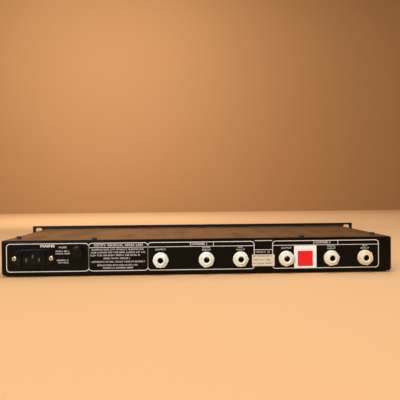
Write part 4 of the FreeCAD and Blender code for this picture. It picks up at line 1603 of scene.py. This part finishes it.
@dataclass
class Lamps:
    """Six status lamps, unlit."""

    radius: float = 1.5
    reach: float = 1.6
    depth: float = 5.0
    colours: Mapping[str, Colour] = field(default_factory=lambda: {
        "red": srgb(190, 18, 22),
        "amber": srgb(214, 128, 20),
        "green": srgb(30, 140, 60),
    })

    def build(self) -> None:
        """Makes the lenses of each colour."""
        for colour, tint in self.colours.items():
            node = "status_lamps_" + colour
            low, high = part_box(node)
            shaper = Shaper()
            radius, reach = self.radius, self.reach
            angles = [0.35 * step for step in range(5)]
            dome = [(radius * math.cos(a), reach - radius + radius * math.sin(a)) for a in angles]
            profile = [(0.0, -self.depth), (radius, -self.depth)] + dome + [(0.0, reach)]
            for x in (low.x / MM + radius, high.x / MM - radius):
                shaper.turned(profile, (-x, (low.z + high.z) / 2.0 / MM), 28)
            shade = tuple(0.7 * level for level in tint)
            lens = MouldedFinish(
                "lens_" + colour, tint, shade, 0.12, mottle=1.5, texture=0.002, glow=0.2, coat=0.6
            )
            slot = "lamp_" + colour
            shaper.emit("lamp_lenses_" + colour, lens.material(), Facing.FRONT, slot, node)


@dataclass
class Interior:
    """What the case hides: transformer, boards and their parts."""

    def build(self) -> None:
        """Dresses each hidden node."""
        sleeve = MouldedFinish("capacitor_sleeve", (0.01, 0.015, 0.05), (0.02, 0.02, 0.07), 0.25)
        hidden = (
            (TAPE, ("transformer_winding",)),
            (ZINC, ("transformer_clamp", "board_standoffs", "regulators_and_heat_sink")),
            (LAMINATE, ("main_circuit_board", "control_board")),
            (sleeve, ("smoothing_capacitors", "potentiometer_bodies")),
            (SATIN_BLACK, ("integrated_circuits",)),
        )
        for finish, nodes in hidden:
            material = finish.material()
            for node in nodes:
                dress(node, material)


@dataclass(frozen=True)
class SoftBox:
    """One soft light: where it stands, what it points at, its size in metres and its watts."""

    name: str
    place: tuple[float, float, float]
    target: tuple[float, float, float]
    size: Point
    power: float


@dataclass
class Studio:
    """Pale floor, plain wall, soft lights and the camera."""

    camera_mm: tuple[float, float, float] = (-19.32, -671.73, 92.42)
    yaw: float = 0.03701
    pitch: float = 0.01534
    roll: float = -0.00895
    focal_widths: float = 1.26666
    floor_colour: Colour = srgb(230, 177, 121)
    wall_colour: Colour = srgb(168, 117, 64)
    wall_y: float = 1.7
    floor_size: float = 8.0
    wall_height: float = 3.0
    surround_colour: Colour = (1.0, 0.96, 0.90)
    surround_strength: float = 0.22
    light_colour: Colour = (0.96, 0.985, 1.0)
    boxes: tuple[SoftBox, ...] = (
        SoftBox("overhead_box", (-0.03, -0.22, 1.15), (-0.03, -0.10, 0.0), (0.86, 0.45), 6.5),
        SoftBox("key_light", (-0.85, -1.55, 1.0), (0.0, -0.1, 0.02), (0.9, 0.9), 25.0),
        SoftBox("fill_light", (0.9, -0.7, 1.2), (0.0, -0.1, 0.0), (0.9, 0.9), 3.0),
        SoftBox("front_light", (0.3, 0.85, 1.5), (0.2, 0.1, 0.0), (1.0, 1.0), 9.0),
        SoftBox("wall_light", (-0.42, 0.75, 0.8), (-0.42, 1.7, 0.6), (0.8, 0.6), 11.5),
    )

    def build(self) -> None:
        """Sets up everything round the unit."""
        self.surfaces()
        self.lights()
        self.camera()

    def surfaces(self) -> None:
        """Floor and back wall."""
        floor = self.sheet("floor", PlainFinish("floor_plain", self.floor_colour).material())
        floor.data.transform(Matrix.Diagonal((self.floor_size, self.floor_size, 1.0, 1.0)))
        wall = self.sheet("wall", PlainFinish("wall_plain", self.wall_colour).material())
        upright = Matrix.Rotation(math.radians(90.0), 4, "X")
        spread = Matrix.Diagonal((self.floor_size, self.wall_height, 1.0, 1.0))
        raised = Matrix.Translation((0.0, self.wall_y, self.wall_height / 2.0))
        wall.data.transform(raised @ upright @ spread)

    def sheet(self, name: str, finish: bpy.types.Material) -> bpy.types.Object:
        """One-metre square."""
        mesh = bmesh.new()
        bmesh.ops.create_grid(mesh, x_segments=1, y_segments=1, size=0.5)
        data = bpy.data.meshes.new(name)
        mesh.to_mesh(data)
        mesh.free()
        data.materials.append(finish)
        sheet = bpy.data.objects.new(name, data)
        bpy.context.scene.collection.objects.link(sheet)
        return sheet

    def lights(self) -> None:
        """Large soft lights and a dim even surround."""
        world = bpy.data.worlds.new("surround")
        world.use_nodes = True
        background = world.node_tree.nodes["Background"]
        background.inputs["Color"].default_value = (*self.surround_colour, 1.0)
        background.inputs["Strength"].default_value = self.surround_strength
        bpy.context.scene.world = world
        for box in self.boxes:
            self.lamp(box)

    def lamp(self, box: SoftBox) -> None:
        """Sets up one soft light."""
        data = bpy.data.lights.new(box.name, "AREA")
        data.shape = "RECTANGLE"
        data.size, data.size_y = box.size
        data.energy = box.power
        data.color = self.light_colour
        light = bpy.data.objects.new(box.name, data)
        light.location = box.place
        aim = Vector(box.target) - Vector(box.place)
        light.rotation_mode = "QUATERNION"
        light.rotation_quaternion = aim.to_track_quat("-Z", "Y")
        light.visible_camera = False
        bpy.context.scene.collection.objects.link(light)

    def camera(self) -> None:
        """Camera that looks at the rear panel from just above the lid."""
        data = bpy.data.cameras.new("camera")
        data.sensor_width = 36.0
        data.lens = self.focal_widths * data.sensor_width
        data.clip_start = 0.02
        data.clip_end = 30.0
        camera = bpy.data.objects.new("camera", data)
        forward = Vector((
            math.sin(self.yaw) * math.cos(self.pitch),
            math.cos(self.yaw) * math.cos(self.pitch),
            -math.sin(self.pitch),
        ))
        right = Vector((math.cos(self.yaw), -math.sin(self.yaw), 0.0))
        up = right.cross(forward)
        tilt = Matrix.Rotation(-self.roll, 3, forward)
        columns = (tilt @ right, tilt @ up, -forward)
        turn = Matrix(columns).transposed().to_4x4()
        camera.matrix_world = Matrix.Translation(Vector(self.camera_mm) * MM) @ turn
        bpy.context.scene.collection.objects.link(camera)
        bpy.context.scene.camera = camera


def main() -> None:
    """Builds the unit and its surroundings."""
    logging.basicConfig(level=logging.INFO, format="%(name)s %(message)s")
    bpy.context.scene.view_settings.view_transform = "Standard"
    parts: tuple[Any, ...] = (
        Studio(),
        Casework(),
        RearPrint(),
        Jacks(),
        MainsInlet(),
        FuseHolder(),
        RearLabels(),
        FrontPanel(),
        Knobs(),
        Switches(),
        Lamps(),
        Interior(),
    )
    for part in parts:
        log.info("building %s", type(part).__name__)
        part.build()
    bpy.context.view_layer.update()


if __name__ == "__main__":
    main()
